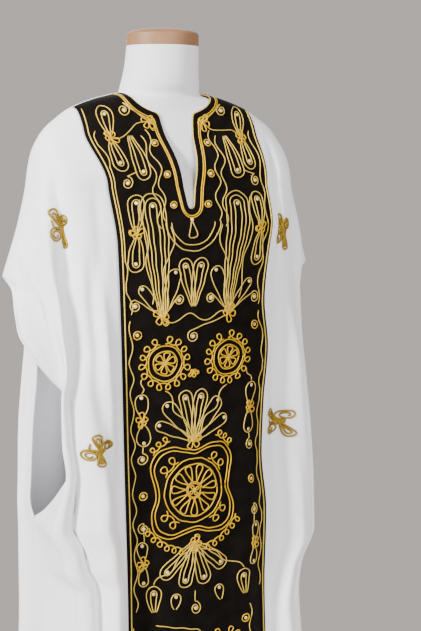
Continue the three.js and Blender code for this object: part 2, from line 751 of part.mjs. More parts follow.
const poleLength = TORSO_BOTTOM - SEAM_GAP - (BASE_HEIGHT + SEAM_GAP);
const pole = addMesh('stand_pole', new THREE.CylinderGeometry(POLE_RADIUS, POLE_RADIUS, poleLength, 24), metal);
pole.rotation.x = Math.PI / 2;
pole.position.z = BASE_HEIGHT + SEAM_GAP + poleLength / 2;

const baseProfile = [
  [0, 0], [BASE_RADIUS - 2, 0], [BASE_RADIUS, 3], [BASE_RADIUS, 8], [BASE_RADIUS - 4, 13],
  [BASE_RADIUS - 18, 15], [POLE_RADIUS + 16, BASE_HEIGHT], [0, BASE_HEIGHT],
].map(([r, h]) => new THREE.Vector2(r, h));
const base = addMesh('stand_base', new THREE.LatheGeometry(baseProfile, 48), metal);
base.rotation.x = Math.PI / 2;

for (const mesh of pack.children) {
  mesh.geometry.deleteAttribute('uv');
  mesh.geometry.deleteAttribute('normal');
  mesh.geometry = mergeVertices(mesh.geometry, 1e-3);
  mesh.geometry.computeVertexNormals();
}

export default pack;
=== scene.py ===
"""A wide-sleeved thobe with a couched gold front, on a limbless dress form.

Surfaces are worked out in millimetres: +Z up, the front faces -Y, the wearer's right is -X.
A place on the cloth is (across, z): across is the distance along the flat cloth from its middle,
negative on the wearer's right. Meshes are made in metres, each with its object at the origin.
"""
import math

import bpy
import numpy as np
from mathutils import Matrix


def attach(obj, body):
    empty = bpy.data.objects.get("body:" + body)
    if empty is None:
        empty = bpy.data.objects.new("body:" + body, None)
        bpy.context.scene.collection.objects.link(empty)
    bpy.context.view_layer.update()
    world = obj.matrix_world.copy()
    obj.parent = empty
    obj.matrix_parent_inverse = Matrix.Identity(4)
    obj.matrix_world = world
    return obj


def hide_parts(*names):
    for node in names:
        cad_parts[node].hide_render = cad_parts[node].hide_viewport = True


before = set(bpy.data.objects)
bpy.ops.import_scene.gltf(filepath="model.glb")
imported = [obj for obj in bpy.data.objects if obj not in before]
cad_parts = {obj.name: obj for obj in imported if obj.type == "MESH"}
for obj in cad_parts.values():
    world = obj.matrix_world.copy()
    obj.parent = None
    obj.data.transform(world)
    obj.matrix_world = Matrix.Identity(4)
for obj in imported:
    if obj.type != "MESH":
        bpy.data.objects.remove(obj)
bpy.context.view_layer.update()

MM = 0.001

# ---- camera, for a picture 421 wide and 631 high --------------------------------------------

CAMERA_AZIMUTH = math.radians(-27)
CAMERA_DISTANCE = 2.1
CAMERA_HEIGHT = 1.4
CAMERA_LENS = 69.49
CAMERA_PITCH = math.radians(8.61)
CAMERA_YAW = math.radians(2.23)


def place_camera():
    """The camera stands at its azimuth round the pole, and looks down and a little to the right."""
    data = bpy.data.cameras.new("camera")
    data.lens = CAMERA_LENS
    data.sensor_width = 36
    data.clip_end = 60
    camera = bpy.data.objects.new("camera", data)
    camera.location = (
        CAMERA_DISTANCE * math.sin(CAMERA_AZIMUTH),
        -CAMERA_DISTANCE * math.cos(CAMERA_AZIMUTH),
        CAMERA_HEIGHT,
    )
    camera.rotation_euler = (math.pi / 2 - CAMERA_PITCH, 0, CAMERA_AZIMUTH - CAMERA_YAW)
    bpy.context.collection.objects.link(camera)
    bpy.context.scene.camera = camera


# ---- sizes of the garment and the form -------------------------------------------------------

COTTON = 1.2
VELVET = 1.8
PANEL_HALF = 165
NECK_HALF = 77
NECK_BACK_DROP = 12
NECK_FRONT_DROP = 37.9
SLIT_HALF = 33
SLIT_BOTTOM = 1272
SLIT_ROUND = 7.5
HEM_Z = 30
BLEND_TOP = 1400
BLEND_BOTTOM = 1310
RIDGE_ACROSS = 252
KNOT_GAP = 20
NEAR_ROWS = 6
FAR_ROWS = 20
ROWS = NEAR_ROWS + FAR_ROWS
FIRST_DROP = 0.9
FORM_EASE = 0.8
SEAM_GAP = 0.3
BASE_RADIUS = 195
BASE_HEIGHT = 18
POLE_RADIUS = 17
TORSO_BOTTOM = 742
NECK_TOP = 1541
CAP_HEIGHT = 30
CAP_STRAIGHT = 0.6
CAP_CENTRE = -4


def table(columns, *rows):
    """Rows of numbers under named columns, as one array for each column."""
    return dict(zip(columns.split(), np.array(rows, float).T))


def course(*rows):
    """A line down the cloth: height, distance out from the middle, and depth (front negative)."""
    return table("z out deep", *rows)


TOP_LINE = table(
    "x z",
    (77, 1463), (120, 1453), (162, 1438), (191, 1420), (215, 1400), (229, 1376), (239, 1342),
    (247, 1300), (258, 1260), (272, 1217), (288, 1166),
)
CHEST = table(
    "z front back seam",
    (1463, -46.6, 80.6, 12), (1445, -47.2, 84.6, 10), (1430, -48.6, 89.6, 7), (1400, -57, 99.6, 0),
    (1353, -77, 112, 0), (1310, -93, 117, 0), (1268, -106, 119, 0), (1218, -109, 120, 0),
)
FORM = table(
    "z half front back seam",
    (1548, 62, -59, 51, -3), (1510, 64, -56, 61, 2), (1480, 68, -52, 73, 8),
    (1461.5, 73, -45, 79, 12), (1451.5, 119.6, -45.2, 82, 11), (1436.5, 161.6, -46, 86, 8),
    (1419, 187, -50, 92, 4), (1406, 198, -54, 96.5, 1), (1385, 202, -60, 102, 0),
    (1350, 200, -73, 108, 0), (1310, 186, -86, 111, 0), (1265, 165, -98, 107, 2),
    (1210, 148, -94, 95, 2), (1140, 132, -78, 80, 2), (1075, 126, -72, 74, 2),
    (1000, 141, -80, 88, 2), (930, 158, -88, 103, 2), (870, 165, -90, 107, 2),
    (800, 158, -86, 98, 2), (742, 148, -82, 90, 2),
)
MIDDLE = table(
    "z front back",
    (1310, -93, 117), (1218, -109, 120), (1050, -108, 118), (760, -110, 122), (400, -124, 134),
    (30, -142, 150),
)

# Lines that run down the cloth, on the wearer's right and left.
RIGHT = {
    "panel": course(
        (1310, 141, -84), (1218, 131, -96), (1050, 127, -97), (900, 125, -97),
        (600, 121, -99), (30, 142, -134),
    ),
    "ridge": course(
        (1310, 221, -62), (1218, 219, -76), (1050, 219, -88), (974, 226, -104),
        (905, 227, -107), (850, 221, -107), (760, 233, -105), (715, 212, -110), (680, 204, -110),
        (648, 187, -108), (580, 184, -108), (30, 240, -132),
    ),
    "edge": course(
        (1166, 288, 0), (1150, 282, -18), (1117, 288, -45), (1087, 289, -60),
        (1043, 270, -80), (1011, 247, -86), (974, 219, -87), (905, 208, -83), (860, 207, -80),
        (810, 220, -52), (770, 231, -12), (745, 234, 34),
    ),
    "seam": course(
        (745, 234, 34), (705, 229, 32), (640, 230, 18), (300, 246, 0), (30, 272, 0),
    ),
    "back_panel": course(
        (1310, 141, 103), (1050, 140, 112), (600, 142, 124), (30, 160, 150),
    ),
    "back_ridge": course(
        (1310, 216, 60), (1218, 216, 74), (1050, 214, 92), (850, 226, 96),
        (600, 228, 100), (30, 268, 124),
    ),
    "back_edge": course(
        (1166, 288, 0), (1135, 262, 26), (1060, 228, 46), (1010, 217, 52),
        (909, 226, 52), (803, 233, 50), (770, 237, 44), (745, 234, 34),
    ),
}
LEFT = {
    "panel": course(
        (1310, 164, -74), (1247, 172, -80), (1204, 164, -84), (1108, 154, -84),
        (1028, 164, -80), (930, 153, -84), (840, 150, -84), (727, 163, -80), (569, 157, -86),
        (30, 160, -128),
    ),
    "ridge": course(
        (1310, 221, -56), (1218, 226, -58), (1142, 243, -44), (1022, 258, -40),
        (946, 268, -40), (850, 280, -40), (753, 288, -40), (665, 290, -42), (610, 250, -60),
        (540, 226, -84), (300, 244, -100), (30, 272, -116),
    ),
    "edge": course(
        (1166, 288, 0), (1150, 272, -8), (1120, 252, -6), (1022, 250, -2),
        (850, 262, 2), (753, 268, 2), (665, 262, -4), (610, 232, -26), (575, 218, -34),
    ),
    "seam": course((575, 218, -34), (300, 246, -14), (30, 276, 0)),
    "back_panel": RIGHT["back_panel"],
    "back_ridge": course(
        (1310, 218, 60), (1218, 222, 74), (1050, 226, 90), (850, 236, 96),
        (600, 232, 100), (30, 270, 126),
    ),
    "back_edge": course(
        (1166, 288, 0), (1130, 258, 34), (1060, 238, 50), (909, 240, 54),
        (759, 250, 46), (650, 246, 20), (575, 218, -34),
    ),
}

# Folds: where across, how wide and how proud, and the heights where each starts and is full.
FOLD_COLUMNS = "at width proud starts full"
RIGHT_FOLDS = table(
    FOLD_COLUMNS, (-198, 34, 17, 1230, 900), (-240, 26, -10, 1350, 1180), (-290, 40, 7, 1330, 1180),
    (-232, 26, -10, 1000, 760),
)
LEFT_FOLDS = table(
    FOLD_COLUMNS, (190, 26, -13, 1260, 1050), (214, 26, 7, 1180, 900), (300, 60, 8, 1330, 1180),
)
PANEL_FOLDS = table(
    FOLD_COLUMNS, (-70, 50, 5, 1000, 400), (20, 56, -6, 900, 300), (110, 44, 8, 1200, 700),
)
BACK_FOLDS = table(
    FOLD_COLUMNS, (-300, 50, 10, 1250, 900), (-205, 44, -15, 1330, 700), (-138, 40, 17, 1340, 640),
    (-66, 42, -13, 1300, 560), (4, 42, 15, 1350, 620), (74, 40, -14, 1290, 500),
    (142, 40, 16, 1330, 660), (210, 46, -15, 1320, 720), (300, 54, 9, 1240, 880),
)

# Creases: a line on the cloth from one place to another, how wide and how proud it stands.
CREASE_COLUMNS = "across z to_across to_z width proud"
FRONT_CREASES = table(
    CREASE_COLUMNS,
    (-250, 1400, -262, 1110, 24, -10), (-214, 1260, -188, 740, 16, -9),
    (-199, 1200, -177, 800, 10, 5), (-276, 1180, -256, 860, 18, 8),
    (-240, 1040, -248, 620, 17, -11), (-214, 740, -216, 300, 15, 9), (-196, 980, -206, 620, 10, 5),
    (190, 1400, 204, 1130, 14, -6), (218, 1140, 232, 640, 17, 8), (236, 1120, 250, 560, 12, -8),
    (188, 1030, 202, 500, 14, -8), (256, 920, 246, 500, 16, -9),
    (-262, 1330, -236, 1120, 16, -4), (-300, 1300, -262, 1060, 18, 4),
    (-345, 1270, -300, 1090, 14, -4), (-395, 1240, -340, 1080, 16, 4),
    (-186, 1330, -200, 1120, 14, -3), (-176, 1000, -182, 700, 10, -5),
    (-214, 860, -222, 560, 13, -6), (-188, 620, -196, 300, 16, -8), (-230, 520, -238, 120, 18, 8),
    (-176, 420, -180, 60, 12, -6), (-280, 500, -290, 60, 26, -9), (-330, 560, -350, 80, 30, 8),
    (182, 1180, 196, 900, 12, 4), (232, 1000, 240, 700, 14, -5), (206, 860, 214, 560, 12, 5),
    (178, 640, 186, 260, 14, -6), (222, 560, 226, 140, 18, 8), (280, 500, 290, 60, 26, -9),
    (330, 560, 350, 80, 30, 8),
)
BACK_CREASES = table(
    CREASE_COLUMNS,
    (-340, 1240, -300, 1000, 18, -5), (-390, 1200, -360, 1040, 16, 5),
    (-252, 1300, -244, 820, 18, 6), (252, 1310, 246, 860, 18, 5), (340, 1230, 306, 980, 18, -5),
    (386, 1210, 350, 1060, 15, 5), (-30, 1180, -34, 700, 14, -4), (38, 1120, 44, 620, 12, 4),
    (-100, 640, -104, 80, 18, -6), (106, 600, 112, 60, 20, -6), (-172, 560, -178, 50, 18, 7),
    (176, 620, 182, 50, 20, 7), (-270, 520, -284, 60, 24, -8), (276, 560, 288, 60, 24, -8),
)


# ---- smooth curves --------------------------------------------------------------------------

def full_turn(count):
    """Angles all the way round, evenly apart, without the last that meets the first."""
    return np.linspace(0, 2 * math.pi, count, endpoint=False)


def running_sum(steps):
    """How far along a line each of its points lies, from the lengths of its steps."""
    return np.concatenate([[0], np.cumsum(steps)])


def smoothstep(x, low, high):
    share = np.clip((x - low) / (high - low), 0, 1)
    return share * share * (3 - 2 * share)


def hermite(t, start, end, start_tangent, end_tangent):
    """The cubic with the given ends and end tangents."""
    t2 = t * t
    t3 = t2 * t
    bend = start_tangent * (t3 - 2 * t2 + t) + end_tangent * (t3 - t2)
    return start * (2 * t3 - 3 * t2 + 1) + end * (3 * t2 - 2 * t3) + bend


def curve_through(keys, values):
    """Cubic pieces whose inner tangents are the harmonic mean of the slopes beside them, or level
    where those slopes disagree, so the curve never overshoots. Beyond the ends it runs on level."""
    order = np.argsort(keys)
    key = np.asarray(keys, float)[order]
    value = np.asarray(values, float)[order]
    slope = np.diff(value) / np.diff(key)
    agree = slope[:-1] * slope[1:] > 0
    total = np.where(agree, slope[:-1] + slope[1:], 1)
    inner = np.where(agree, 2 * slope[:-1] * slope[1:] / total, 0)
    tangent = np.concatenate([slope[:1], inner, slope[-1:]])

    def at(x):
        x = np.clip(x, key[0], key[-1])
        i = np.clip(np.searchsorted(key, x) - 1, 0, len(key) - 2)
        span = key[i + 1] - key[i]
        t = (x - key[i]) / span
        return hermite(t, value[i], value[i + 1], tangent[i] * span, tangent[i + 1] * span)

    return at


def curves(rows, by="z"):
    return {name: curve_through(rows[by], rows[name]) for name in rows if name != by}


TOP_RUN = NECK_HALF + running_sum(np.hypot(np.diff(TOP_LINE["x"]), np.diff(TOP_LINE["z"])))
CUFF_ACROSS = TOP_RUN[-1]
CUFF_Z = TOP_LINE["z"][-1]
TOP_STEPS = np.linspace(NECK_HALF, CUFF_ACROSS, 241)
TOP_STEP_X = curve_through(TOP_RUN, TOP_LINE["x"])(TOP_STEPS)
TOP_STEP_Z = curve_through(TOP_RUN, TOP_LINE["z"])(TOP_STEPS)

chest = curves(CHEST)
middle = curves(MIDDLE)
form = curves(FORM)
sides = [{name: curves(rows) for name, rows in side.items()} for side in (RIGHT, LEFT)]


def top_x(across):
    return np.interp(across, TOP_STEPS, TOP_STEP_X)


def top_z(across):
    return np.interp(across, TOP_STEPS, TOP_STEP_Z)


def top_across_at(z):
    return np.interp(-z, -TOP_STEP_Z, TOP_STEPS)


def top_x_at(z):
    return np.interp(-z, -TOP_STEP_Z, TOP_STEP_X)


# ---- the cloth surface ----------------------------------------------------------------------

SHEET_PULL = 1.6
JOIN_ABOVE = 60
JOIN_BELOW = 50


def shoulder_point(out, z, face):
    """Half an oval at each height, half as wide as the top line there: a thread falls straight."""
    half = top_x_at(z)
    x = np.minimum(np.where(out < NECK_HALF, out, top_x(out)), half)
    seam = chest["seam"](z)
    depth = chest[face](z) - seam
    return np.stack([x, seam + depth * np.sqrt(np.maximum(0, 1 - (x / half) ** 2))])


def hanging_point(out, z, face, is_left):
    """A curve through the middle, the panel's edge, the ridge and the free edge or side seam, with
    one heading at each knot: the middle of the two chords beside it."""
    prefix = "" if face == "front" else "back_"

    def line(name):
        return np.stack([
            np.where(is_left, sides[1][name][key](z), sides[0][name][key](z))
            for key in ("out", "deep")
        ])

    zero = np.zeros_like(z)
    seam_top = np.where(is_left, LEFT["seam"]["z"][0], RIGHT["seam"]["z"][0])
    edge = np.where(z < seam_top, line("seam"), line(prefix + "edge"))
    top_fold = np.stack([top_x_at(z), chest["seam"](z)])
    knots = np.stack([
        np.stack([zero, middle[face](z)]), line(prefix + "panel"), line(prefix + "ridge"),
        np.where(z > CUFF_Z, top_fold, edge),
    ])
    outer_end = np.maximum(top_across_at(z), PANEL_HALF + 2 * KNOT_GAP)
    ridge_at = np.minimum(RIDGE_ACROSS, outer_end - KNOT_GAP)
    knot_at = np.stack([zero, zero + PANEL_HALF, ridge_at, outer_end])
    chords = np.diff(knots, axis=0)
    length = np.hypot(chords[:, 0], chords[:, 1])
    way = chords / length[:, None]
    between_two = way[:-1] + way[1:]
    between_two = between_two / np.hypot(between_two[:, 0], between_two[:, 1])[:, None]
    # where front and back are joined, the cloth turns straight from one to the other
    above_seam = 1 - smoothstep(z, seam_top, seam_top + JOIN_ABOVE)
    joined = np.maximum(smoothstep(z, CUFF_Z - JOIN_BELOW, CUFF_Z), above_seam)
    straight_on = np.stack([zero, zero + (1 if face == "front" else -1)])
    last = way[2] + (straight_on - way[2]) * joined
    heading = np.concatenate([np.stack([zero + 1, zero])[None], between_two, last[None]])
    inner_reach = SHEET_PULL * np.minimum(length[:-1], length[1:])
    reach = np.concatenate([length[:1], inner_reach, length[2:]])
    stretch = (out > knot_at[1]).astype(int) + (out > knot_at[2])

    def take(stack, step=0):
        index = (stretch + step).reshape((1,) * (stack.ndim - stretch.ndim) + stretch.shape)
        return np.take_along_axis(stack, index, axis=0)[0]

    t = np.minimum((out - take(knot_at)) / (take(knot_at, 1) - take(knot_at)), 1)
    pull = [np.minimum(take(reach, end), take(length)) for end in (0, 1)]
    tangents = [take(heading, end) * pull[end] for end in (0, 1)]
    return hermite(t, take(knots), take(knots, 1), *tangents)


def cloth_point(face, across, z):
    """The shoulder's oval above, the hanging curve below, and a smooth blend between them."""
    across, z = np.broadcast_arrays(np.asarray(across, float), np.asarray(z, float))
    is_left = across >= 0
    out = np.abs(across)
    above = shoulder_point(out, z, face)
    below = hanging_point(out, z, face, is_left)
    x, y = above + (below - above) * (1 - smoothstep(z, BLEND_BOTTOM, BLEND_TOP))
    return as_columns(np.where(is_left, x, -x), y, z)


def fold_height(folds, across, z):
    """Each fold is a round hump or hollow, cosine squared across, that fades in with height."""
    height = 0.0
    for at, width, proud, starts, full in zip(*folds.values()):
        away = np.clip((across - at) / width, -1, 1)
        height = height + proud * np.cos(away * math.pi / 2) ** 2 * smoothstep(-z, -starts, -full)
    return height


def crease_height(creases, across, z):
    """Each crease is cosine squared across its own line, and fades out at both ends."""
    height = 0.0
    for x0, z0, x1, z1, width, proud in zip(*creases.values()):
        share = (z0 - z) / (z0 - z1)
        away = np.clip((across - (x0 + (x1 - x0) * share)) / width, -1, 1)
        fade = smoothstep(share, 0, 0.3) * (1 - smoothstep(share, 0.7, 1))
        height = height + proud * np.cos(away * math.pi / 2) ** 2 * fade
    return height


SLOW_HEIGHT = 1.2
SLOW_TOP = (1180, 1340)
PANEL_SEAM_CALM = 12


def relief(face, across, z):
    """How far folds and creases lift the cloth. The hanging cloth has a slow unevenness too, two
    sine waves multiplied, which dies out at the shoulder and beside the panel's seam."""
    slow = SLOW_HEIGHT * np.sin(across / 31 + z / 117) * np.sin(z / 89 - across / 53)
    from_seam = (np.abs(across) - PANEL_HALF) / PANEL_SEAM_CALM
    slow = slow * (1 - smoothstep(z, *SLOW_TOP)) * (1 - np.exp(-from_seam ** 2))
    if face == "back":
        return slow + fold_height(BACK_FOLDS, across, z) + crease_height(BACK_CREASES, across, z)
    # a side's folds stop at the middle, because each lies wholly on its own side
    own = fold_height(RIGHT_FOLDS, across, z) + fold_height(LEFT_FOLDS, across, z)
    creases = crease_height(FRONT_CREASES, across, z)
    return slow + own + fold_height(PANEL_FOLDS, across, z) + creases


def neck_round(x):
    return np.sqrt(np.maximum(0, 1 - (x / NECK_HALF) ** 2))


def slit_z(out):
    """A half circle at the foot, then straight sides that lean out to the top."""
    foot = SLIT_BOTTOM + SLIT_ROUND
    top = TOP_LINE["z"][0] - NECK_FRONT_DROP * neck_round(SLIT_HALF)
    lean = (top - foot) / (SLIT_HALF - SLIT_ROUND)
    curved = foot - np.sqrt(np.maximum(SLIT_ROUND ** 2 - out ** 2, 0))
    return curved + lean * np.maximum(out - SLIT_ROUND, 0)


def upper_z(out, face):
    """The cloth's upper border: the neckline, with the slit in front, then the top line."""
    neck_side = TOP_LINE["z"][0]
    if face == "back":
        neck = neck_side - NECK_BACK_DROP * neck_round(out)
    else:
        neckline = neck_side - NECK_FRONT_DROP * neck_round(out)
        neck = np.where(out >= SLIT_HALF, neckline, slit_z(out))
    return np.where(out < NECK_HALF, neck, top_z(out))


def drop_to(row, length):
    """The first rows crowd together where the cloth turns over the shoulder, then run evenly."""
    near = FIRST_DROP * np.minimum(row, NEAR_ROWS) ** 2
    return near + (length - near) * np.maximum(row - NEAR_ROWS, 0) / FAR_ROWS


def row_at(drop, length):
    near = FIRST_DROP * NEAR_ROWS ** 2
    first = np.sqrt(np.clip(drop, 0, near) / FIRST_DROP)
    return first + np.maximum(drop - near, 0) * FAR_ROWS / (length - near)


def raw_point(face, across, row):
    top = upper_z(np.abs(across), face)
    return cloth_point(face, across, top - drop_to(row, top - HEM_Z))


def as_columns(*parts):
    """Arrays of one shape side by side, as the last axis of a new one."""
    return np.stack(parts, axis=-1)


def unit(vectors):
    return vectors / np.maximum(np.linalg.norm(vectors, axis=-1, keepdims=True), 1e-9)


STEP_ACROSS = 0.5
STEP_DOWN = 0.02


def outward(point_at, face, across, row):
    """The cross product of the slopes across and down. Beside the neck the slope across stops at
    the neck's side, where the top line turns into the neckline."""
    beyond = np.abs(across) >= NECK_HALF
    low = np.where(beyond & (across > 0), NECK_HALF, -CUFF_ACROSS)
    high = np.where(beyond & (across < 0), -NECK_HALF, CUFF_ACROSS)
    slope_across = (
        point_at(face, np.minimum(across + STEP_ACROSS, high), row)
        - point_at(face, np.maximum(across - STEP_ACROSS, low), row)
    )
    slope_down = (
        point_at(face, across, np.minimum(row + STEP_DOWN, ROWS))
        - point_at(face, across, np.maximum(row - STEP_DOWN, 0))
    )
    normal = unit(np.cross(slope_across, slope_down))
    return -normal if face == "front" else normal


def surface_point(face, across, row):
    point = raw_point(face, across, row)
    height = relief(face, across, point[..., 2])
    return point + outward(raw_point, face, across, row) * height[..., None]


def cloth_frame(face, across, row):
    """Points of the finished cloth and their outward directions."""
    across, row = np.broadcast_arrays(np.asarray(across, float), np.asarray(row, float))
    return surface_point(face, across, row), outward(surface_point, face, across, row)


def frame_at(face, across, z):
    """The same for a place given by its height."""
    top = upper_z(np.abs(across), face)
    return cloth_frame(face, across, row_at(top - z, top - HEM_Z))


# ---- meshes ---------------------------------------------------------------------------------

def make_mesh(name, points, faces, material, uv=None, corner_uv=None, replaces=()):
    """One piece from whole arrays: faces is a list of quad and triangle arrays of point numbers.
    uv holds one pair for each point, corner_uv one for each corner of each face."""
    mesh = bpy.data.meshes.new(name)
    corners = np.concatenate([part.ravel() for part in faces]).astype(np.int32)
    sizes = np.concatenate([np.full(len(part), part.shape[1]) for part in faces])
    starts = np.concatenate([[0], np.cumsum(sizes)[:-1]]).astype(np.int32)
    mesh.vertices.add(len(points))
    mesh.vertices.foreach_set("co", (points * MM).astype(np.float32).ravel())
    mesh.loops.add(len(corners))
    mesh.loops.foreach_set("vertex_index", corners)
    mesh.polygons.add(len(sizes))
    mesh.polygons.foreach_set("loop_start", starts)
    if uv is not None:
        corner_uv = uv[corners]
    if corner_uv is not None:
        layer = mesh.uv_layers.new(name="cloth")
        layer.data.foreach_set("uv", corner_uv.astype(np.float32).ravel())
    mesh.update(calc_edges=True)
    mesh.validate()
    mesh.shade_smooth()
    mesh.materials.append(material)
    piece = bpy.data.objects.new(name, mesh)
    bpy.context.collection.objects.link(piece)
    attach(piece, "root")
    if replaces:
        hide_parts(*replaces)
    return piece


def grid_quads(rows, columns, flip):
    number = np.arange(rows * columns).reshape(rows, columns)
    quads = as_columns(number[:-1, :-1], number[1:, :-1], number[1:, 1:], number[:-1, 1:])
    quads = quads.reshape(-1, 4)
    return quads[:, ::-1] if flip else quads


def border_loop(rows, columns):
    """Point numbers round a grid: down the left side, along the foot, up and back."""
    number = np.arange(rows * columns).reshape(rows, columns)
    return np.concatenate([number[:-1, 0], number[-1, :-1], number[:0:-1, -1], number[0, :0:-1]])


SHEET_NEAR_LINES = 19
SHEET_FAR_LINES = 230


def cloth_sheet(node, across, name, thickness, material, slot):
    """A closed thin wall: the cloth's grid moved out and in by half the thickness, and a rim."""
    face = node.split("_")[0]
    near = np.linspace(0, NEAR_ROWS, SHEET_NEAR_LINES)[:-1]
    rows = np.concatenate([near, np.linspace(NEAR_ROWS, ROWS, SHEET_FAR_LINES)])
    grid_across, grid_row = np.meshgrid(across, rows)
    points, normals = cloth_frame(face, grid_across, grid_row)
    shape = grid_across.shape
    flip = face == "back"
    quads = grid_quads(*shape, flip)
    loop = border_loop(*shape)
    if flip:
        loop = loop[::-1]
    count = points.shape[0] * points.shape[1]
    following = np.roll(loop, -1)
    rim = as_columns(following, loop, loop + count, following + count)
    layers = [points + normals * side * thickness / 2 for side in (1, -1)]
    uv = as_columns(grid_across, points[..., 2]).reshape(-1, 2) * MM
    return make_mesh(
        name, np.concatenate([layer.reshape(-1, 3) for layer in layers]),
        [quads, quads[:, ::-1] + count, rim], material,
        uv=np.concatenate([uv, uv]), replaces=(node,),
    )


def ring_body(rings):
    """Points and faces of a closed body from rings, low to high, each end closed by a fan."""
    ring_count, count = rings.shape[:2]
    number = np.arange(ring_count * count).reshape(ring_count, count)
    after = np.roll(number, -1, axis=1)
    quads = as_columns(number[:-1], after[:-1], after[1:], number[1:]).reshape(-1, 4)
    low = np.full(count, ring_count * count)
    low_fan = as_columns(after[0], number[0], low)
    high_fan = as_columns(number[-1], after[-1], low + 1)
    ends = rings[[0, -1]].mean(axis=1)
    return np.concatenate([rings.reshape(-1, 3), ends]), [quads, low_fan, high_fan]


def lathe(profile, sides):
    """Rings of (radius, height) pairs round the pole."""
    angle = full_turn(sides)
    radius, height = np.array(profile, float).T
    return np.stack([
        radius[:, None] * np.cos(angle), radius[:, None] * np.sin(angle),
        np.broadcast_to(height[:, None], (len(radius), sides)),
    ], axis=-1)


def around(first, second, sides):
    """Rings of directions, one for each pair of directions: cosine of one and sine of the other."""
    angle = full_turn(sides)[None, :, None]
    return first[:, None] * np.cos(angle) + second[:, None] * np.sin(angle)


def read_off(path, run, at):
    """Each column of a path between its points, straight from one to the next."""
    return as_columns(*(np.interp(at, run, column) for column in path.T))


def resample(path, step):
    """The same line, with points an even distance apart."""
    run = running_sum(np.linalg.norm(np.diff(path, axis=0), axis=1))
    count = max(int(round(run[-1] / step)), 3)
    return read_off(path, run, np.linspace(0, run[-1], count + 1))


def tubes(name, lines, radius, material, sides=6, flat=1.0, taper=0.45, replaces=()):
    """Round cords along lines of points that carry a direction up from the cloth, six columns in
    all. A ring stands square to the line at each point, and the ends are closed."""
    data = np.concatenate(lines)
    lengths = np.array([len(line) for line in lines])
    ends = np.cumsum(lengths) - 1
    starts = ends - lengths + 1
    number = np.arange(len(data))
    line_of = np.repeat(np.arange(len(lines)), lengths)
    before = data[np.maximum(number - 1, starts[line_of]), :3]
    after = data[np.minimum(number + 1, ends[line_of]), :3]
    along = unit(after - before)
    sideways = unit(np.cross(along, data[:, 3:]))
    up = np.cross(sideways, along)
    size = np.full(len(data), float(radius))
    size[starts] *= taper
    size[ends] *= taper
    points = data[:, None, :3] + around(sideways, up * flat, sides) * size[:, None, None]
    inside = np.setdiff1d(number, ends)
    corner = np.arange(len(data) * sides).reshape(len(data), sides)
    turned = np.roll(corner, -1, axis=1)
    after = inside + 1
    quads = as_columns(corner[after], turned[after], turned[inside], corner[inside])
    side = np.arange(sides) / sides
    side_uv = as_columns(side, side + 1 / sides, side + 1 / sides, side)
    run = running_sum(np.linalg.norm(np.diff(data[:, :3], axis=0), axis=1)) * MM
    run_uv = run[as_columns(after, after, inside, inside)]
    quad_uv = np.stack(np.broadcast_arrays(run_uv[:, None], side_uv[None]), axis=-1).reshape(-1, 2)

    def fans(rings):
        corners = np.broadcast_arrays(rings[:, :1], rings[:, 1:-1], rings[:, 2:])
        return np.stack(corners, axis=-1).reshape(-1, 3)

    caps = np.concatenate([fans(corner[starts]), fans(corner[ends])[:, [0, 2, 1]]])
    return make_mesh(
        name, points.reshape(-1, 3), [quads.reshape(-1, 4), caps], material,
        corner_uv=np.concatenate([quad_uv, np.zeros((caps.size, 2))]), replaces=replaces,
    )


def laid(face, path, lift):
    """A path of (across, z) places becomes a line of points on the cloth with its up direction."""
    point, normal = frame_at(face, path[:, 0], path[:, 1])
    return np.concatenate([point + normal * lift, normal], axis=1)


# ---- materials ------------------------------------------------------------------------------

def new_group(name, inputs, outputs):
    group = bpy.data.node_groups.new(name, "ShaderNodeTree")
    for socket, kind, default in inputs:
        made = group.interface.new_socket(socket, in_out="INPUT", socket_type="NodeSocket" + kind)
        if default is not None:
            made.default_value = default
    for socket, kind in outputs:
        group.interface.new_socket(socket, in_out="OUTPUT", socket_type="NodeSocket" + kind)
    return group, group.nodes.new("NodeGroupInput"), group.nodes.new("NodeGroupOutput")


def feed(tree, socket, value):
    """A link where the value is another node's socket, a colour for three numbers, or a number."""
    if isinstance(value, bpy.types.NodeSocket):
        tree.links.new(value, socket)
    else:
        socket.default_value = (*value, 1) if isinstance(value, tuple) else value


def math_node(tree, operation, *values):
    node = tree.nodes.new("ShaderNodeMath")
    node.operation = operation
    for socket, value in zip(node.inputs, values):
        feed(tree, socket, value)
    return node.outputs[0]


def mix_colour(tree, factor, first, second):
    node = tree.nodes.new("ShaderNodeMix")
    node.data_type = "RGBA"
    for socket, value in ((0, factor), (6, first), (7, second)):
        feed(tree, node.inputs[socket], value)
    return node.outputs[2]


def noise(tree, place, scale, detail=2):
    node = tree.nodes.new("ShaderNodeTexNoise")
    for socket, value in (("Vector", place), ("Scale", scale), ("Detail", detail)):
        feed(tree, node.inputs[socket], value)
    return node.outputs["Fac"]


def build_weave():
    """Plain weave: threads across and along cross at the given pitch, over and under each other."""
    group, enter, leave = new_group(
        "plain_weave",
        [("Place", "Vector", None), ("Pitch", "Float", 0.001), ("Slub", "Float", 0.3)],
        [("Height", "Float"), ("Thread", "Float")],
    )
    split = group.nodes.new("ShaderNodeSeparateXYZ")
    group.links.new(enter.outputs["Place"], split.inputs[0])
    turn = math_node(group, "DIVIDE", math.pi, enter.outputs["Pitch"])
    warp = math_node(group, "SINE", math_node(group, "MULTIPLY", split.outputs[0], turn))
    weft = math_node(group, "SINE", math_node(group, "MULTIPLY", split.outputs[1], turn))
    crossing = math_node(group, "MULTIPLY", warp, weft)
    uneven = noise(group, enter.outputs["Place"], 240, 3)
    slub = math_node(group, "MULTIPLY", uneven, enter.outputs["Slub"])
    height = math_node(group, "ADD", math_node(group, "MULTIPLY", crossing, 0.5), slub)
    group.links.new(height, leave.inputs["Height"])
    group.links.new(uneven, leave.inputs["Thread"])
    return group


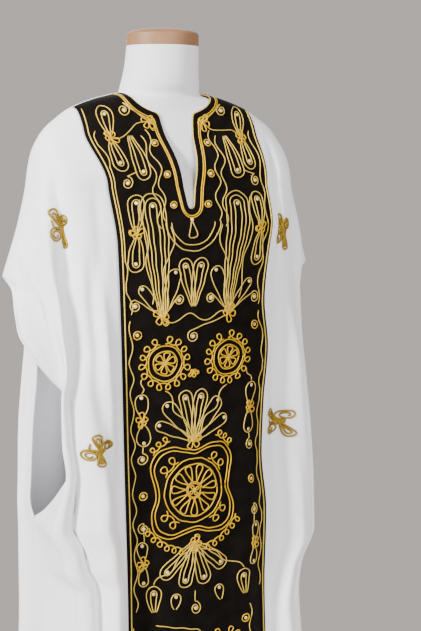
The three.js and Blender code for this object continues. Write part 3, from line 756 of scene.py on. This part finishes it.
def build_soft_tone():
    """A slow, faint change of tone over a surface, from large noise."""
    group, enter, leave = new_group(
        "soft_tone",
        [
            ("Place", "Vector", None), ("Scale", "Float", 6.0), ("Light", "Color", None),
            ("Dark", "Color", None),
        ],
        [("Color", "Color"), ("Mask", "Float")],
    )
    spread_out = group.nodes.new("ShaderNodeMapRange")
    spread_out.inputs["From Min"].default_value = 0.35
    spread_out.inputs["From Max"].default_value = 0.65
    cloudy = noise(group, enter.outputs["Place"], enter.outputs["Scale"], 4)
    group.links.new(cloudy, spread_out.inputs["Value"])
    mask = spread_out.outputs[0]
    colour = mix_colour(group, mask, enter.outputs["Dark"], enter.outputs["Light"])
    group.links.new(colour, leave.inputs["Color"])
    group.links.new(mask, leave.inputs["Mask"])
    return group


def new_material(name, **settings):
    """A Principled material with plain values set on its own sockets."""
    material = bpy.data.materials.new(name)
    material.use_nodes = True
    shader = material.node_tree.nodes["Principled BSDF"]
    for socket, value in settings.items():
        shader.inputs[socket.replace("_", " ")].default_value = value
    return material, material.node_tree, shader


def place_group(tree, group, **values):
    node = tree.nodes.new("ShaderNodeGroup")
    node.node_tree = group
    for socket, value in values.items():
        feed(tree, node.inputs[socket], value)
    return node


def coordinates(tree, kind):
    return tree.nodes.new("ShaderNodeTexCoord").outputs[kind]


def bump(tree, shader, height, strength, distance):
    node = tree.nodes.new("ShaderNodeBump")
    node.inputs["Strength"].default_value = strength
    node.inputs["Distance"].default_value = distance
    tree.links.new(height, node.inputs["Height"])
    tree.links.new(node.outputs[0], shader.inputs["Normal"])


def toned_material(name, space, scale, light, dark, grain=None, rough=None, thick=None, **settings):
    """A colour that drifts between two tones. Fine noise gives it a grain, as (scale, strength,
    depth), the drift can turn its roughness, as (share, least), and a woven cloth has its own tone
    where threads are thick."""
    material, tree, shader = new_material(name, **settings)
    place = coordinates(tree, space)
    tone = place_group(tree, soft_tone, Place=place, Scale=scale, Light=light, Dark=dark)
    colour = tone.outputs["Color"]
    if thick:
        threads = place_group(tree, weave, Place=place, Pitch=0.0009, Slub=0.5)
        colour = mix_colour(tree, threads.outputs["Thread"], colour, thick)
        bump(tree, shader, threads.outputs["Height"], 0.35, 0.0004)
    tree.links.new(colour, shader.inputs["Base Color"])
    if grain:
        bump(tree, shader, noise(tree, place, grain[0]), *grain[1:])
    if rough:
        turned = math_node(tree, "MULTIPLY_ADD", tone.outputs["Mask"], *rough)
        tree.links.new(turned, shader.inputs["Roughness"])
    return material


weave = build_weave()
soft_tone = build_soft_tone()


def cord_material(name, light, dark, pitch):
    """Twisted cord: strands slant round the cord once for each pitch, with painted shade making the
    colour darker in the grooves in between.
    """
    material, tree, shader = new_material(name, Metallic=0.55, Roughness=0.38)
    uv = tree.nodes.new("ShaderNodeSeparateXYZ")
    tree.links.new(coordinates(tree, "UV"), uv.inputs[0])
    run = math_node(tree, "DIVIDE", uv.outputs[0], pitch)
    twist = math_node(tree, "MULTIPLY", math_node(tree, "ADD", run, uv.outputs[1]), 2 * math.pi)
    strand = math_node(tree, "MULTIPLY_ADD", math_node(tree, "SINE", twist), 0.5, 0.5)
    worn = noise(tree, coordinates(tree, "Object"), 90)
    # painted shade: the colour darkens in the grooves between strands, added to random wear from
    # noise
    shade = math_node(tree, "MULTIPLY", strand, 0.6)
    wear_and_groove_shade = math_node(tree, "MULTIPLY_ADD", worn, 0.6, shade)
    tree.links.new(mix_colour(tree, wear_and_groove_shade, dark, light), shader.inputs["Base Color"])
    bump(tree, shader, strand, 0.6, 0.0004)
    return material


cotton = toned_material(
    "white_cotton", "UV", 7.0, (0.90, 0.90, 0.925), (0.85, 0.85, 0.885), thick=(0.93, 0.93, 0.95),
    Roughness=0.82, Sheen_Weight=0.18, Sheen_Roughness=0.5,
)
velvet = toned_material(
    "black_velvet", "UV", 30.0, (0.0052, 0.0036, 0.0026), (0.0022, 0.0014, 0.001),
    grain=(1400, 0.5, 0.0006), Roughness=0.95, Sheen_Weight=0.03, Sheen_Roughness=0.35,
    Specular_IOR_Level=0.08,
)
gold = cord_material("gold_cord", (0.92, 0.55, 0.006), (0.40, 0.21, 0.002), 0.0022)
pale_gold = cord_material("pale_gold_cord", (0.92, 0.66, 0.11), (0.38, 0.24, 0.02), 0.0018)
old_gold = cord_material("mustard_cord", (0.38, 0.24, 0.008), (0.15, 0.085, 0.002), 0.0022)
sequin = toned_material(
    "pale_sequin", "Object", 60.0, (0.98, 0.80, 0.36), (0.84, 0.58, 0.18),
    Metallic=0.55, Roughness=0.36,
)
jersey = toned_material(
    "white_jersey", "Object", 5.0, (0.84, 0.83, 0.86), (0.79, 0.78, 0.82),
    grain=(900, 0.25, 0.0003), Roughness=0.8, Sheen_Weight=0.2, Sheen_Roughness=0.5,
)
cap_wood = toned_material(
    "neck_cap", "Object", 22.0, (0.26, 0.128, 0.054), (0.20, 0.097, 0.042), Roughness=0.55,
)
metal = toned_material(
    "stand_metal", "Object", 14.0, (0.60, 0.61, 0.63), (0.5, 0.51, 0.53),
    rough=(0.12, 0.28), Metallic=0.9, Roughness=0.34,
)
floor_grey = toned_material(
    "floor", "Object", 0.8, (0.66, 0.65, 0.645), (0.63, 0.62, 0.615), Roughness=0.7,
)


# ---- dress form and stand -------------------------------------------------------------------

def form_rings(heights, count=96):
    """Two half ovals at each height, front and back of the shoulder line."""
    angle = full_turn(count)
    level = np.asarray(heights, float)[:, None] + FORM_EASE
    seam = form["seam"](level)
    ahead, behind = seam - form["front"](level), form["back"](level) - seam
    depth = np.where(np.sin(angle) < 0, ahead, behind) - FORM_EASE
    x = form["half"](level) * np.cos(angle)
    y = seam + depth * np.sin(angle)
    return as_columns(x, y, np.broadcast_to(level - FORM_EASE, x.shape))


def make_form():
    heights = np.concatenate([
        np.arange(TORSO_BOTTOM, 1380, 7), np.arange(1380, 1470, 2), np.arange(1470, NECK_TOP, 5),
        [NECK_TOP - 0.6, NECK_TOP],
    ])
    points, faces = ring_body(form_rings(heights))
    make_mesh("torso", points, faces, jersey, replaces=("form_torso",))
    domed = 1 - CAP_STRAIGHT
    dome = 1 - domed * np.cos(np.linspace(0, math.pi / 2, 12))
    share = np.concatenate([[0, 0.02, 0.3], dome])
    shrink = np.sqrt(np.maximum(0.02, 1 - np.maximum(0, (share - CAP_STRAIGHT) / domed) ** 2))
    rings = form_rings(np.full(len(share), NECK_TOP))
    rings[..., 0] *= shrink[:, None]
    rings[..., 1] = CAP_CENTRE + (rings[..., 1] - CAP_CENTRE) * shrink[:, None]
    rings[..., 2] = (NECK_TOP + SEAM_GAP + share * CAP_HEIGHT)[:, None]
    points, faces = ring_body(rings)
    make_mesh("neck_cap_wood", points, faces, cap_wood, replaces=("form_neck_cap",))


BASE_PROFILE = (
    (2, 0), (0.6, 1), (0, 3), (0, 8), (1, 10.5), (4, 13), (9, 14.2), (18, 15),
    (BASE_RADIUS - POLE_RADIUS - 30, 17.4), (BASE_RADIUS - POLE_RADIUS - 16, BASE_HEIGHT),
)
POLE_BEVEL = 0.6


def make_stand():
    """The base's profile is given as (in from its rim, height)."""
    low, high = BASE_HEIGHT + SEAM_GAP, TORSO_BOTTOM - SEAM_GAP
    inner = POLE_RADIUS - POLE_BEVEL
    side = [(POLE_RADIUS, low + POLE_BEVEL), (POLE_RADIUS, high - POLE_BEVEL)]
    points, faces = ring_body(lathe([(inner, low), *side, (inner, high)], 64))
    make_mesh("pole", points, faces, metal, replaces=("stand_pole",))
    points, faces = ring_body(lathe([(BASE_RADIUS - inward, z) for inward, z in BASE_PROFILE], 128))
    make_mesh("base", points, faces, metal, replaces=("stand_base",))


# ---- garment --------------------------------------------------------------------------------

def make_cloth():
    slit = np.concatenate([np.linspace(0, 10, 9)[:-1], np.linspace(10, SLIT_HALF, 13)[:-1]])
    neck_angle = np.linspace(math.acos(SLIT_HALF / NECK_HALF), 0, 10)
    half = np.concatenate([slit, NECK_HALF * np.cos(neck_angle), np.linspace(82, PANEL_HALF, 16)])
    panel_across = np.concatenate([-half[:0:-1], half])
    back_neck = NECK_HALF * np.cos(np.linspace(math.pi / 2, 0, 20))
    back_half = np.concatenate([back_neck, np.linspace(82, PANEL_HALF, 16)])
    back_across = np.concatenate([-back_half[:0:-1], back_half])
    side_across = np.linspace(PANEL_HALF, CUFF_ACROSS, 64)
    widths = {
        "front_panel": panel_across, "front_right": -side_across[::-1], "front_left": side_across,
        "back_centre": back_across, "back_right": -side_across[::-1], "back_left": side_across,
    }
    made = {}
    for node, across in widths.items():
        look = ("cotton_" + node, COTTON, cotton, "white_cloth")
        if node == "front_panel":
            look = ("velvet_front", VELVET, velvet, "black_velvet")
        made[node] = cloth_sheet(node, across, *look)
    return made


# ---- needlework -----------------------------------------------------------------------------

CORD_STEP = 2.6
CORD = 0.98
NEST_GAP = 7.6
PANEL_LIMIT = 151
TAKE_UP = table(
    "z right left",
    (1400, 1, 1), (1310, 0.88, 1), (1250, 0.81, 1), (1100, 0.78, 0.97), (900, 0.765, 0.96),
    (600, 0.75, 0.98), (30, 0.9, 1),
)
take_up = curves(TAKE_UP)


def spread(path):
    """Designs are drawn as wide as they hang; on the flat cloth each place lies farther out, by
    the share of its width that the cloth has taken up in folds at that height."""
    at, z = path.T
    share = np.where(at < 0, take_up["right"](z), take_up["left"](z))
    return as_columns(np.clip(at / share, -PANEL_LIMIT, PANEL_LIMIT), z)


def hand_sewn(path):
    """A small smooth drift, about half a millimetre, that depends only on the place."""
    at, z = path.T
    drift = as_columns(np.sin(z / 6.1 + at / 9.7), np.sin(at / 5.3 - z / 8.9))
    return path + 0.55 * drift


def through(points, step=CORD_STEP):
    """A smooth line through a few points: cubic pieces whose tangents follow their neighbours."""
    points = np.array(points, float)
    run = running_sum(np.hypot(*np.diff(points, axis=0).T))
    tangent = np.gradient(points, run, axis=0)
    at = np.linspace(0, run[-1], max(int(run[-1] / step), 4))
    i = np.clip(np.searchsorted(run, at) - 1, 0, len(run) - 2)
    span = (run[i + 1] - run[i])[:, None]
    t = (at[:, None] - run[i][:, None]) / span
    return hermite(t, points[i], points[i + 1], tangent[i] * span, tangent[i + 1] * span)


def beside(path, gap):
    """A line a constant distance to the left of another, seen along it."""
    along = unit(np.gradient(path, axis=0))
    return path + gap * as_columns(-along[:, 1], along[:, 0])


def between(foot, head, side, forward):
    """Places given by how far to the side and how far forward they lie, going from foot to head."""
    foot = np.array(foot, float)
    reach = np.array(head, float) - foot
    along = reach / np.hypot(*reach)
    across = np.array([along[1], -along[0]])
    return foot + np.outer(side, across) + np.outer(forward, along)


def distance(foot, head):
    return math.hypot(head[0] - foot[0], head[1] - foot[1])


def petal(foot, head, width):
    """A teardrop from its foot round its head and back, widest near the head."""
    turn = np.linspace(-1, 1, 25)
    forward = distance(foot, head) * (1 - np.abs(turn) ** 2.6)
    return between(foot, head, width / 2 * np.sin(math.pi * turn), forward)


def hairpin(foot, head, width, foot_width):
    """Up one side, round a half circle at the head and down again, closing in at the foot."""
    radius = width / 2
    straight = distance(foot, head) - radius
    rise = np.linspace(0, 1, 11)[:-1]
    half = foot_width / 2 + (radius - foot_width / 2) * np.sin(rise * math.pi / 2) ** 0.8
    arc = np.linspace(math.pi, 0, 13)
    side = np.concatenate([-half, radius * np.cos(arc), half[::-1]])
    rising = rise * straight
    forward = np.concatenate([rising, straight + radius * np.sin(arc), rising[::-1]])
    return between(foot, head, side, forward)


def nest_lines(width):
    return 1 + int((width - 9) / (2 * NEST_GAP))


def nest(foot, head, width):
    """Hairpins one inside another, as many as the width holds."""
    reach = distance(foot, head)
    lines = nest_lines(width)
    made = []
    for i in range(lines):
        share = 1 - i * NEST_GAP / reach
        top = [f + (h - f) * share for f, h in zip(foot, head)]
        made.append(hairpin(foot, top, width - 2 * i * NEST_GAP, 4 * (lines - i) - 2))
    return made


def polar(centre, reach, angle):
    """Places round a centre, each at its own reach and angle."""
    return centre + as_columns(reach * np.cos(angle), reach * np.sin(angle))


def ring(centre, radius, start=0, sweep=360):
    angle = np.radians(start + np.linspace(0, sweep, max(int(abs(sweep) / 12), 6)))
    return polar(centre, radius, angle)


def spiral(centre, radius, turns, start, tail):
    """From the tail round and in towards the centre."""
    share = np.linspace(0, 1, int(abs(turns) * 14))
    angle = math.radians(start) + 2 * math.pi * turns * share
    return np.concatenate([[tail], polar(centre, radius * (1 - 0.78 * share), angle)])


def loops_along(path, size, count):
    """Small loops sewn one after another to the left of a line."""
    base = resample(path, 1.0)
    share = np.linspace(0, 1, count * 14 + 1)
    turn = 2 * math.pi * count * share
    number = np.arange(len(base))
    at = np.clip(share + 0.5 * np.sin(turn) / count, 0, 1) * number[-1]
    left = read_off(beside(base, 1) - base, number, at)
    return read_off(base, number, at) + left * (size * (1 - np.cos(turn)) / 2)[:, None]


def rose(centre, inner, outer, width, count, start):
    """Petals round a centre, sewn one after another without a break."""
    angles = np.radians(start + 360 * np.arange(count) / count)
    feet, heads = (polar(centre, reach, angles) for reach in (inner, outer))
    return np.concatenate([petal(foot, head, width) for foot, head in zip(feet, heads)])


def knot(centre, size, start):
    """A tangle: six loops of uneven reach through the middle, turned on from one another."""
    shares = np.array([1, 0.72, 0.9, 0.6, 1.08, 0.8])
    angles = start + 2.5 * np.arange(len(shares))
    backs = polar(centre, -0.3 * size, angles + 0.6)
    tips = polar(centre, size * shares, angles)
    return np.concatenate([petal(back, tip, 0.62 * size) for back, tip in zip(backs, tips)])


def lobed(centre, radius, depth, turn):
    """A quatrefoil: a circle that swells at four places."""
    angle = np.linspace(0, 2 * math.pi, 120)
    return polar(centre, radius + depth * np.cos(4 * (angle - math.radians(turn))), angle)


PANEL_MARGIN = 17
BLOCK_REPEAT = -524
FAN_FOOT = 1098
ROSETTES = 1020
WHEEL = np.array([0, 797])
UPPER_KNOT = np.array([0, 884])
LOWER_KNOT = np.array([0, 704])


def spot(side, share, z):
    """A place a share of the way from the middle to the margin of one half of the hanging panel."""
    taken = take_up["right" if side < 0 else "left"](z)
    return np.array([side * share * (PANEL_HALF * float(taken) - PANEL_MARGIN), z])


def wave(start, end, swing, turns):
    """A sine line from one place to another."""
    share = np.linspace(0, 1, int(turns * 16) + 2)
    aside = swing * np.sin(2 * math.pi * turns * share)
    return between(start, end, aside, distance(start, end) * share)


class Design:
    """Fine lines, bold lines and sequins of one part of the panel."""

    def __init__(self):
        self.fine, self.bold, self.sequins = [], [], []

    def nest(self, foot, head, width):
        self.fine += nest(foot, head, width)
        inside = (nest_lines(width) - 1) * NEST_GAP + 5.5
        self.sequins.append(between(foot, head, [0], [distance(foot, head) - inside])[0])

    def fan(self, foot, *heads):
        """Nests that spring from one foot, each given by its head and width."""
        for head, width in heads:
            self.nest(foot, head, width)

    def flower(self, centre, reach, width, lean):
        """A knot with one nest up and one down."""
        for way in (-1, 1):
            tip = centre + np.array([lean * way, reach * way])
            self.nest(centre + np.array([0, 5 * way]), tip, width)
        self.bold.append(knot(centre, 13, lean))

    def spiral(self, centre, radius, side, tail):
        self.fine.append(spiral(centre, radius, 1.6 * side, 90, tail))
        self.sequins.append(centre)

    def stud(self, centre, radius):
        self.bold.append(ring(centre, radius))
        self.sequins.append(centre)

    def wave(self, *course):
        self.fine.append(wave(*course))

    def garland(self, radius, start, sweep, size, count):
        """Small loops along a part of a circle round the wheel."""
        self.bold.append(loops_along(ring(WHEEL, radius, start, sweep), size, count))


def yoke_design():
    """Mirrored about the middle: waves and studs beside the slit, flowers in two outer rows, a tall
    fan in each half, arcs and a pair of nests under the slit."""
    design = Design()
    for side in (-1, 1):
        corner = np.array([side * 50, 1414])
        fan = spot(side, 0.5, FAN_FOOT)
        design.bold += [knot(corner, 14, side), knot(fan, 16, side)]
        for out in (0, 10):
            start = (side * (60 + out), 1402 - out)
            design.wave(start, (side * (46 + out), 1252 - out), 5 * side, 3)
        for z in (1380, 1330, 1280):
            design.stud(np.array([side * (31 + 0.18 * (z - 1280)), z]), 5.5)
        design.flower(spot(side, 0.84, 1388), 52, 26, 4 * side)
        design.flower(spot(side, 0.86, 1236), 62, 28, -3 * side)
        design.nest(spot(side, 0.6, 1392), spot(side, 0.62, 1322), 27)
        heads = ((0.56, 1300, 42), (0.28, 1176, 24), (0.84, 1150, 17))
        design.fan(fan, *((spot(side, share, z), width) for share, z, width in heads))
        design.wave(spot(side, 0.34, 1246), fan, 7 * side, 1.5)
        design.wave(spot(side, 0.99, 1400), spot(side, 0.99, 1104), 4, 5)
        design.spiral(spot(side, 0.62, 1434), 11, side, corner)
        design.spiral(spot(side, 0.92, 1118), 11, -side, fan)
        design.spiral(spot(side, 0.86, 1317), 11, side, spot(side, 0.7, 1334))
        design.spiral(spot(side, 0.24, 1124), 9, side, fan)
        design.wave(corner, spot(side, 0.84, 1388), 6, 1)
        design.wave(spot(side, 0.74, 1290), spot(side, 0.66, 1120), 4, 2)
    design.fine += [ring((0, 1252), radius, 180, 180) for radius in (38, 48)]
    design.fine.append(petal((0, 1257), (0, 1226), 15))
    design.sequins.append(np.array([0, 1256]))
    design.fan((0, 1112), *(((side * 17, 1192), 26) for side in (-1, 1)))
    design.wave(spot(-1, 0.5, 1094), spot(1, 0.5, 1094), 7, 2)
    return design


def block_design():
    """Mirrored about the middle: two rosettes, fans above and below a wheel in a quatrefoil, and
    flowers beside them."""
    design = Design()
    for side in (-1, 1):
        rosette = spot(side, 0.47, ROSETTES)
        design.bold += [ring(rosette, 30), ring(rosette, 21), rose(rosette, 1, 18, 11, 6, 20)]
        design.bold.append(loops_along(ring(rosette, 33, 90, -345), 13, 15))
        design.flower(spot(side, 0.84, 926), 44, 24, 2 * side)
        design.fan(UPPER_KNOT, ((side * 17, 970), 25), ((side * 52, 952), 24))
        design.fan(LOWER_KNOT, ((side * 22, 628), 26), ((side * 62, 652), 25))
        design.flower(spot(side, 0.88, 678), 38, 19, 2 * side)
        design.nest(spot(side, 0.7, 592), spot(side, 0.7, 638), 25)
        design.nest(UPPER_KNOT, (side * 68, 918), 18)
        design.nest(spot(side, 0.36, 592), spot(side, 0.34, 620), 18)
        design.spiral(spot(side, 0.86, 860), 11, side, spot(side, 0.84, 882))
        design.spiral(spot(side, 0.86, 740), 11, -side, spot(side, 0.86, 716))
        design.wave(rosette - (0, 47), UPPER_KNOT, 5 * side, 2)
        design.wave(rosette + (side * 40, -24), spot(side, 0.84, 972), 3, 1)
        design.wave(spot(side, 0.7, 640), LOWER_KNOT, 4 * side, 2)
        design.garland(101, 270 + 10 * side, 46 * side, -12 * side, 6)
        design.garland(101, 90 - 26 * side, -22 * side, 11 * side, 3)
        design.stud(spot(side, 0.86, 797), 7)
        design.stud(spot(side, 0.9, 1070), 7)
        design.wave(spot(side, 1, 1094), spot(side, 1, 596), 3.5, 9)
        for turn in (45, 225):
            design.garland(60, turn * side + 17, -34, 15, 2)
    design.spiral(np.array([0, 1062]), 12, 1, spot(1, 0.5, 1094))
    design.spiral(np.array([0, 588]), 12, -1, (0, 620))
    design.bold += [knot(UPPER_KNOT, 15, 0.4), knot(LOWER_KNOT, 15, 1.1), knot((0, 1000), 9, 0)]
    design.bold += [ring(WHEEL, radius) for radius in (56, 46, 12)]
    design.bold += [rose(WHEEL, 15, 44, 12, 11, 8), rose(WHEEL, 1, 9, 6, 4, 30)]
    design.bold += [lobed(WHEEL, 77, 13, 45), lobed(WHEEL, 84, 14, 45)]
    design.sequins.append(WHEEL)
    return design


def moved(paths, down, mirror):
    """The same design lower on the panel, turned left for right where mirror is -1."""
    return [np.asarray(path, float) * (mirror, 1) + (0, down) for path in paths]


def on_panel(paths, lift):
    """Lines of a design laid on the velvet, with a hand's small drift and even steps."""
    paths = [hand_sewn(resample(path, CORD_STEP)) for path in paths]
    sizes = np.cumsum([len(path) for path in paths])[:-1]
    line = laid("front", spread(np.concatenate(paths)), lift)
    return np.split(line, sizes)


def studs(name, places, radius, material):
    """Sequins: low round discs, a dozen sides each, bevelled to a dished top."""
    centre, up = places[:, None, :3], places[:, 3:]
    side = unit(np.cross(up, [0.3, 0.2, 1]))
    rim = around(side, np.cross(up, side), 12) * radius
    profile = [(1.0, 0.0), (1.0, 0.5), (0.82, 0.95), (0.45, 0.75)]
    layers = [centre + rim * share + up[:, None] * height for share, height in profile]
    points, faces = [], []
    for number, body in enumerate(np.stack(layers, axis=1)):
        body_points, body_faces = ring_body(body)
        faces += [part + number * len(body_points) for part in body_faces]
        points.append(body_points)
    whole = [np.concatenate([part for part in faces if part.shape[1] == size]) for size in (4, 3)]
    return make_mesh(name, np.concatenate(points), whole, material)


FINE_LIFT = VELVET / 2 + 0.75
BOLD_LIFT = FINE_LIFT + 0.5
SEQUIN_LIFT = VELVET / 2 + 0.9
SEQUIN_RADIUS = 3.1


def make_embroidery():
    yoke, block = yoke_design(), block_design()
    for design, down, mirror, name in (
        (yoke, 0, 1, "yoke"), (block, 0, 1, "middle"), (block, BLOCK_REPEAT, -1, "lower"),
    ):
        fine = on_panel(moved(design.fine, down, mirror), FINE_LIFT)
        bold = on_panel(moved(design.bold, down, mirror), BOLD_LIFT)
        tubes("couched_cord_" + name, fine, CORD, pale_gold, flat=0.8)
        tubes("bold_cord_" + name, bold, CORD + 0.15, gold, flat=0.85)
        places = spread(np.concatenate(moved([design.sequins], down, mirror)))
        laid_places = laid("front", places, SEQUIN_LIFT)
        studs("sequins_" + name, laid_places, SEQUIN_RADIUS, sequin)


def opening_edge(face):
    """The neck opening's edge on one face as closely spaced (across, z) places, right to left."""
    across = NECK_HALF * np.cos(np.linspace(math.pi, 0, 400))
    if face == "front":
        slit = np.linspace(-SLIT_HALF, SLIT_HALF, 401)
        across = np.sort(np.concatenate([across[np.abs(across) > SLIT_HALF], slit]))
    return resample(as_columns(across, upper_z(np.abs(across), face)), 1.5)


def inside_opening(face, inset):
    """The line that runs a given distance in from the neck opening's edge, seam to seam."""
    edge = opening_edge(face)
    if inset == 0:
        return edge
    line = beside(edge, -inset)
    away = np.linalg.norm(line[:, None] - edge[None], axis=-1).min(axis=1)
    line = line[away > inset - 0.1]
    line[:, 1] = np.minimum(line[:, 1], upper_z(np.abs(line[:, 0]), face))
    return line


def soften(line, reach, closed=True):
    """Each point and direction becomes the mean of its neighbours, as a sewn edge rounds off."""
    near = np.arange(len(line)) + np.arange(-reach, reach + 1)[:, None]
    near = near % len(line) if closed else np.clip(near, 0, len(line) - 1)
    mean = line[near].mean(axis=0)
    mean[:, 3:] = unit(mean[:, 3:])
    return mean


def round_the_neck(inset, lift, reach):
    """A closed line round the whole neck opening: the front from right to left, the back again."""
    front = laid("front", inside_opening("front", inset), lift)
    back = laid("back", inside_opening("back", inset), lift)[::-1]
    line = soften(np.concatenate([front, back]), reach)
    return np.concatenate([line, line[:1]])


EDGE_CORD_INSET = 7.0


def make_edging():
    lift = VELVET / 2
    tubes(
        "neck_binding_velvet", [round_the_neck(4.6, lift + 0.5, 3)], 4.9, velvet,
        sides=12, flat=0.16, taper=1, replaces=("neck_binding",),
    )
    tubes("neck_rim_cord", [round_the_neck(0, 0.2, 2)], 1.35, pale_gold, taper=1)
    rows = [round_the_neck(inset, lift + 0.7, 1) for inset in (10.2, 13.4)]
    tubes("neck_border_cord", rows, 1.05, gold, taper=1)
    for side, name in ((-1, "right"), (1, "left")):
        z = np.arange(HEM_Z + 4, top_z(PANEL_HALF) - 1, 3.0)
        across = side * (PANEL_HALF - EDGE_CORD_INSET / take_up[name](z))
        tubes(
            "panel_edge_cord_" + name, [laid("front", as_columns(across, z), lift + 0.8)],
            CORD + 0.2, pale_gold, replaces=("border_cord_" + name,),
        )


SMALL_MOTIFS = table(
    "across z size turn",
    (-257, 1248, 27, 6), (-205, 890, 22, -14), (210, 1226, 28, 4), (196, 882, 25, 12),
)


def make_small_motifs():
    """Butterfly-like motifs on the white cloth: two long and two round wings about a knot, each
    sewn twice round. A motif's own lines are shares of its size."""
    wings = [
        petal((0, 0), (-0.42, 1.1), 0.52), petal((-0.06, 0.2), (-0.36, 0.86), 0.24),
        petal((0, 0), (0.24, -1.15), 0.4), petal((0.04, -0.3), (0.2, -0.94), 0.16),
        spiral((-0.42, -0.36), 0.46, 1.9, 60, (0, 0)),
        spiral((0.38, 0.42), 0.42, -1.9, 240, (0, 0)),
        knot((0, 0), 0.24, 0.4), through([(-0.6, 0.5), (-0.5, 0.1), (-0.1, 0)], 0.1),
    ]
    lines = []
    for across, z, size, turn in zip(*SMALL_MOTIFS.values()):
        angle = math.radians(turn)
        turned = polar((0, 0), size, np.array([angle, angle + math.pi / 2]))
        for wing in wings:
            path = resample(wing @ turned + (across, z), 2.0)
            lines.append(laid("front", hand_sewn(path), COTTON / 2 + 1.0))
    tubes("small_gold_motifs", lines, 1.9, old_gold, flat=0.85)


def edge_line(face, across, start_z, end_z, lift=0):
    z = np.arange(start_z, end_z, 4.0)
    return laid(face, as_columns(np.full(len(z), float(across)), z), lift)


STITCH_POINTS = 0.5


def stitches(line, length, gap):
    """Short straight stitches one after another along a line."""
    fine = resample(line, STITCH_POINTS)
    fine[:, 3:] = unit(fine[:, 3:])
    step = int((length + gap) / STITCH_POINTS)
    reach = int(length / STITCH_POINTS)
    return [fine[i:i + reach + 1:max(reach // 2, 1)] for i in range(0, len(fine) - reach, step)]


STITCH_LIFT = COTTON / 2 + 0.15
HEM_ROW = 14.0
CUFF_ROW = 7


def make_hems():
    """Rolled hems with a row of stitches on every free edge, and flat felled seams where front and
    back are joined."""
    rolls, seams, dashes = [], [], []
    for side, seam_top in ((-1, RIGHT["seam"]["z"][0]), (1, LEFT["seam"]["z"][0])):
        for face in ("front", "back"):
            rolls.append(edge_line(face, side * (CUFF_ACROSS - 0.5), seam_top - 2, CUFF_Z - 1))
            row = (side * (CUFF_ACROSS - CUFF_ROW), seam_top + 4, CUFF_Z - 3)
            dashes += stitches(edge_line(face, *row, STITCH_LIFT), 2.6, 1.6)
        seams.append(edge_line("front", side * CUFF_ACROSS, HEM_Z + 1, seam_top))
        across = np.linspace(NECK_HALF + 1, CUFF_ACROSS - 1, 150) * side
        seams.append(laid("front", as_columns(across, top_z(np.abs(across))), 0))
    for name, lines, radius in (("rolled_hems", rolls, 1.9), ("felled_seams", seams, 1.5)):
        lines = [soften(line, 1, False) for line in lines]
        tubes(name, lines, radius, cotton, sides=8, taper=1)
    for face in ("front", "back"):
        across = np.linspace(-CUFF_ACROSS + 4, CUFF_ACROSS - 4, 900)
        if face == "front":
            across = across[np.abs(across) > PANEL_HALF + 2]
        for part in np.split(across, np.flatnonzero(np.diff(across) > 20) + 1):
            row = as_columns(part, np.full(len(part), HEM_Z + HEM_ROW))
            dashes += stitches(laid(face, row, STITCH_LIFT), 2.8, 1.8)
    tubes("hem_stitches", dashes, 0.42, cotton, sides=4, taper=0.7)


# ---- light and floor ------------------------------------------------------------------------

def add_light(name, place, aim_z, size, power, colour=(1, 1, 1)):
    data = bpy.data.lights.new(name, "AREA")
    data.size = size
    data.energy = power
    data.color = colour
    light = bpy.data.objects.new(name, data)
    light.location = place
    x, y, z = np.array([0, 0, aim_z]) - place
    light.rotation_euler = (math.atan2(math.hypot(x, y), -z), 0, math.atan2(y, x) - math.pi / 2)
    bpy.context.collection.objects.link(light)


def make_studio():
    add_light("key", (-3.0, -0.95, 2.6), 1.15, 0.6, 330, (1, 0.985, 0.995))
    add_light("fill", (0.2, -3.2, 2.1), 1.0, 1.6, 95)
    add_light("rear", (0.8, 2.8, 2.4), 1.1, 2.2, 60)
    world = bpy.data.worlds.new("studio")
    world.use_nodes = True
    world.node_tree.nodes["Background"].inputs["Color"].default_value = (0.54, 0.505, 0.478, 1)
    bpy.context.scene.world = world
    angle = full_turn(96)
    rim = as_columns(1200 * np.cos(angle), 1200 * np.sin(angle), np.full(96, -0.5))
    mesh = bpy.data.meshes.new("floor")
    mesh.from_pydata((rim * MM).tolist(), [], [list(range(96))])
    mesh.materials.append(floor_grey)
    floor = bpy.data.objects.new("floor", mesh)
    bpy.context.collection.objects.link(floor)


place_camera()
sheets = make_cloth()
make_edging()
make_embroidery()
make_small_motifs()
make_hems()
make_form()
make_stand()
make_studio()
